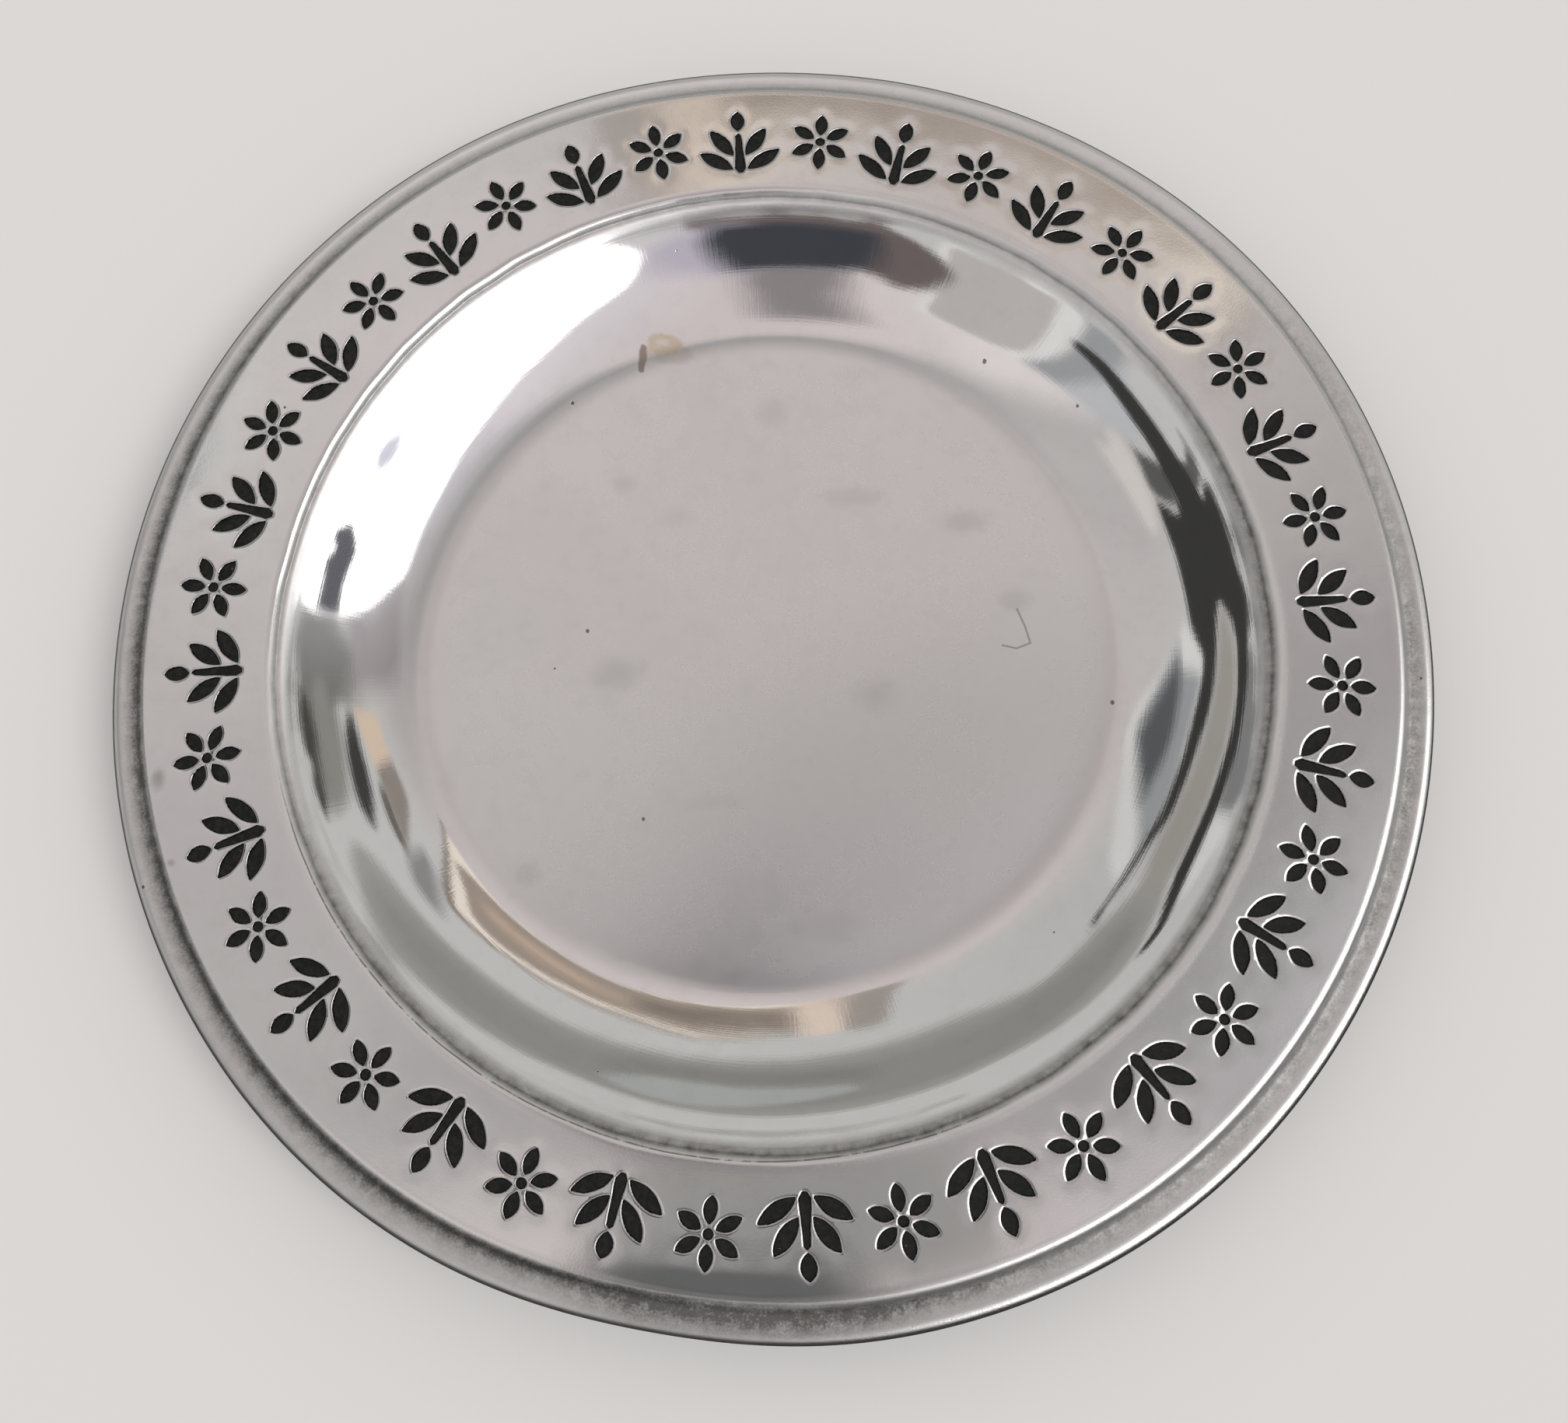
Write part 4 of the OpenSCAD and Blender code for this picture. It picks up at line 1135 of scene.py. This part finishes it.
        (136.7, 32.1), (137.9, 27.8), (138.9, 27.5), (145.5, 29.0), (155.3, 33.0), (154.8, 34.5), (147.0, 33.2),
        (141.6, 32.9))),
    ((0.763, 0.763, 0.765), 0.9, 1, (
        (127.9, 28.5), (132.1, 28.1), (137.0, 27.9), (136.6, 32.1), (133.2, 31.9), (130.1, 30.9))),
    ((0.74, 0.7, 0.67), 0.9, 0.9, (
        (166.9, 55.4), (171.8, 54.9), (177.3, 55.7), (183.9, 56.1), (184.0, 58.1), (180.6, 59.5), (180.4, 61.4),
        (170.7, 59.1), (165.9, 56.7))),
    ((0.557, 0.571, 0.606), 1.2, 0.9, (
        (188.3, 48.8), (207.8, 43.7), (209.4, 45.5), (205.5, 48.4), (201.8, 53.3), (201.5, 58.6), (201.7, 63.2),
        (193.3, 60.9), (186.9, 58.3), (183.9, 56.1), (184.4, 52.1), (188.7, 44.2))),
    ((0.37, 0.387, 0.395), 1, 1, (
        (200.3, 41.1), (208.5, 44.2), (206.8, 46.1), (203.6, 51.4), (202.6, 55.6), (202.1, 59.6), (202.3, 63.3),
        (196.2, 61.5), (195.7, 57.4), (196.2, 52.5), (197.7, 47.1))),
    ((0.125, 0.125, 0.12), 0.45, 1, (
        (175.3, 43.6), (176.9, 41.9), (179.9, 41.6), (185.3, 42.7), (182.1, 42.9), (179.7, 44.1), (179.8, 45.7),
        (176.6, 44.6))),
    ((0.115, 0.115, 0.115), 0.45, 1, (
        (172.3, 49.6), (175.1, 49.7), (179.0, 50.8), (180.8, 53.8), (181.1, 54.8), (174.8, 54.7), (172.8, 53.3))),
    ((0.046, 0.046, 0.044), 0.35, 1, (
        (121.0, 27.8), (122.3, 27.1), (124.9, 27.5), (127.7, 29.9), (130.7, 31.8), (134.8, 32.6), (139.8, 32.8),
        (147.0, 33.2), (152.9, 34.0), (157.4, 35.1), (161.9, 35.1), (166.7, 37.7), (172.3, 38.9), (175.9, 40.3),
        (176.6, 41.2), (174.4, 42.9), (175.8, 43.7), (179.4, 45.2), (183.4, 46.5), (189.7, 47.6), (197.7, 48.9),
        (202.1, 49.7), (205.8, 51.2), (207.3, 52.0), (204.7, 52.3), (199.9, 52.1), (192.3, 52.2), (184.3, 51.3),
        (177.7, 50.6), (173.1, 49.4), (171.8, 49.4), (171.1, 50.2), (171.9, 53.0), (171.8, 54.0), (168.2, 53.4),
        (163.3, 52.2), (160.1, 51.7), (154.5, 50.2), (153.3, 49.0), (152.0, 47.0), (150.0, 46.7), (146.9, 46.7),
        (143.5, 46.8), (137.9, 46.4), (131.8, 46.4), (126.6, 46.8), (121.9, 46.6), (117.3, 45.9), (117.0, 44.5),
        (119.7, 45.6), (123.1, 45.6), (127.3, 45.2), (132.1, 44.1), (138.2, 43.8), (142.8, 43.5), (148.2, 43.3),
        (153.4, 43.7), (156.7, 43.8), (159.2, 43.2), (159.1, 42.1), (158.0, 40.2), (155.9, 38.4), (150.2, 36.6),
        (145.3, 35.9), (139.0, 36.2), (133.2, 35.9), (129.3, 35.3), (126.4, 32.8), (124.6, 29.9), (121.3, 28.3))),
    # camera's side
    ((0.82, 0.81, 0.8), 0.5, 1, (
        (206.5, 45.2), (207.9, 44.1), (214.5, 43.4), (222.7, 48.1), (233.6, 48.1), (232.7, 55.2), (229.9, 60.8),
        (227.4, 67.5), (225.1, 68.0), (209.9, 66.1), (202.5, 63.9), (202.0, 60.6), (202.9, 55.7), (204.6, 50.5))),
    ((0.55, 0.52, 0.51), 0.4, 1, (
        (212.2, 45.6), (218.0, 47.0), (225.1, 48.3), (232.1, 49.2), (229.9, 54.9), (227.1, 60.6), (224.7, 67.3),
        (211.3, 66.2), (206.1, 64.2), (204.5, 61.5), (206.5, 56.4), (208.9, 51.3))),
    # the bright panel and the glow round it
    ((0.86, 0.82, 0.9), 7.5, 0.55, (
        (284.4, 55.9), (285.8, 53.3), (289.2, 51.2), (295.1, 49.5), (303.0, 46.3), (312.6, 44.2), (324.8, 42.4),
        (337.0, 40.4), (349.2, 38.9), (361.3, 37.4), (364.0, 35.4), (367.8, 37.5), (370.6, 37.8), (372.2, 40.3),
        (372.8, 42.6), (373.8, 46.2), (374.4, 49.6), (374.5, 53.3), (373.9, 56.6), (373.4, 62.8), (373.0, 66.8),
        (369.8, 69.4), (365.0, 71.1), (359.7, 72.3), (351.8, 73.1), (344.0, 73.9), (333.2, 74.3), (323.6, 73.9),
        (312.3, 72.9), (299.6, 71.5), (291.2, 69.2), (287.0, 64.5), (285.1, 60.4))),
    ((3.2, 3.15, 3.12), 1, 1, (
        (291.4, 55.9), (292.8, 53.3), (296.2, 51.2), (300.6, 49.5), (306.6, 46.3), (313.9, 44.2), (324.8, 42.4),
        (337.0, 40.4), (349.2, 38.9), (361.3, 37.4), (364.0, 35.4), (367.8, 37.5), (370.6, 37.8), (372.2, 40.3),
        (372.8, 42.6), (373.8, 46.2), (374.4, 49.6), (374.5, 53.3), (373.9, 56.3), (373.4, 59.2), (373.0, 61.1),
        (369.8, 62.3), (365.0, 63.1), (359.7, 64.3), (351.8, 65.1), (344.0, 65.9), (333.2, 66.3), (323.6, 65.9),
        (313.7, 64.9), (304.0, 63.5), (297.6, 62.1), (294.0, 60.0), (292.1, 58.0))),
    ((0.763, 0.763, 0.876), 1.2, 1, (
        (344.3, 50.4), (345.6, 48.7), (348.1, 47.3), (350.9, 47.5), (353.1, 48.1), (355.9, 47.7), (353.5, 49.3),
        (351.4, 51.0), (348.6, 52.1), (345.8, 51.7))),
    ((0.145, 0.145, 0.17), 0.6, 1, (
        (359.9, 46.1), (360.5, 44.1), (361.9, 43.1), (363.8, 43.5), (365.6, 41.9), (368.3, 41.7), (372.6, 40.7),
        (373.9, 44.7), (369.7, 46.0), (366.7, 47.5), (364.7, 48.3), (362.1, 47.7), (360.4, 47.0))),
    # grey over the right side
    ((0.37, 0.365, 0.362), 4, 0.75, (
        (338.0, 79.5), (351.0, 82.5), (370.0, 79.0), (385.0, 73.0), (395.0, 68.0), (391.0, 64.0), (374.0, 67.0), (360.0, 71.8),
        (348.0, 77.0)))
)
groups = []
for k, (tint, soft, amount, corners) in enumerate(PANELS):
    c = np.array(corners)
    mid = c.mean(0)
    squeeze = cd(mid[1])
    flat, tri, cover = soft_panel((c - mid) * (squeeze, 1.0), soft, amount, 2.5)
    az, el = np.radians(flat[:, 0] / squeeze + mid[0]), np.radians(flat[:, 1] + mid[1])
    ball = np.stack([np.cos(el) * np.cos(az), np.cos(el) * np.sin(az), np.sin(el)], -1)
    groups.append((ball * (30.0 - 0.1 * k), tri, cover, tint))
stand("far_panels", groups)

# cards round the camera: tone, softness and cover, then corners in millimetres right of it and above it
CARDS = (
    ((0.380, 0.372, 0.366), 10, 1, ((-66, -38), (56, -36), (56, -84), (-70, -84))),
    ((0.150, 0.150, 0.152), 14, 1, ((-84, -78), (-36, -76), (10, -80), (18, -160), (-95, -160))),
    ((0.250, 0.225, 0.235), 6, 0.9, ((-33, 46), (-3, 46), (-5, 72), (-8, 98), (-24, 100), (-27, 74))),
    ((0.165, 0.135, 0.135), 4, 1, ((-83, 27), (-86, 6), (-78, -18), (-60, -32), (-20, -34), (20, -33), (20, -20), (-40, 40), (-46, 54), (-64, 48))),
    ((0.536, 0.503, 0.600), 9, 0.9, ((-4, -19), (24, -18), (37, -4), (37, 12), (26, 32), (10, 44), (-4, 46))),
    ((0.058, 0.062, 0.075), 6, 1, ((-60, -12), (-36, -18), (-8, -21), (10, -19), (14, 0), (9, 22), (1, 43), (-17, 45), (-34, 44), (-44, 36), (-52, 20))))
groups = []
for k, (tint, soft, amount, corners) in enumerate(CARDS):
    flat, tri, cover = soft_panel(corners, soft, amount, 12.0)
    at = np.array(cam_m.translation) + (flat[:, :1] * np.array(side) + flat[:, 1:] * np.array(top) - 0.4 * k * np.array(back)) * MM
    groups.append((at, tri, cover, tint))
stand("camera_cards", groups)

# low dark screen round the near rim, fading at its top and its ends
turn = np.linspace(184.0, 356.0, 58)
ends = smooth(184.0, 204.0, turn) * (1 - smooth(336.0, 356.0, turn))
high = 60.0 + 44.0 * np.clip(-np.sin(np.radians(turn)), 0.0, 1.0)
rows = ((None, 1.0), (-30.0, 1.0), (-15.0, 0.82), (0.0, 0.45), (15.0, 0.12), (28.0, 0.0))
at = np.concatenate([np.stack([232.0 * np.cos(np.radians(turn)), 232.0 * np.sin(np.radians(turn)), 0 * turn if up is None else high + up], -1) for up, _ in rows]) * MM
n = len(turn)
tri = []
for k in range(len(rows) - 1):
    for j in range(n - 1):
        a, b = k * n + j, (k + 1) * n + j
        tri += [(a, a + 1, b + 1), (a, b + 1, b)]
stand("near_screen", [(at, tri, np.concatenate([c * ends for _, c in rows]), (0.035, 0.035, 0.034))])
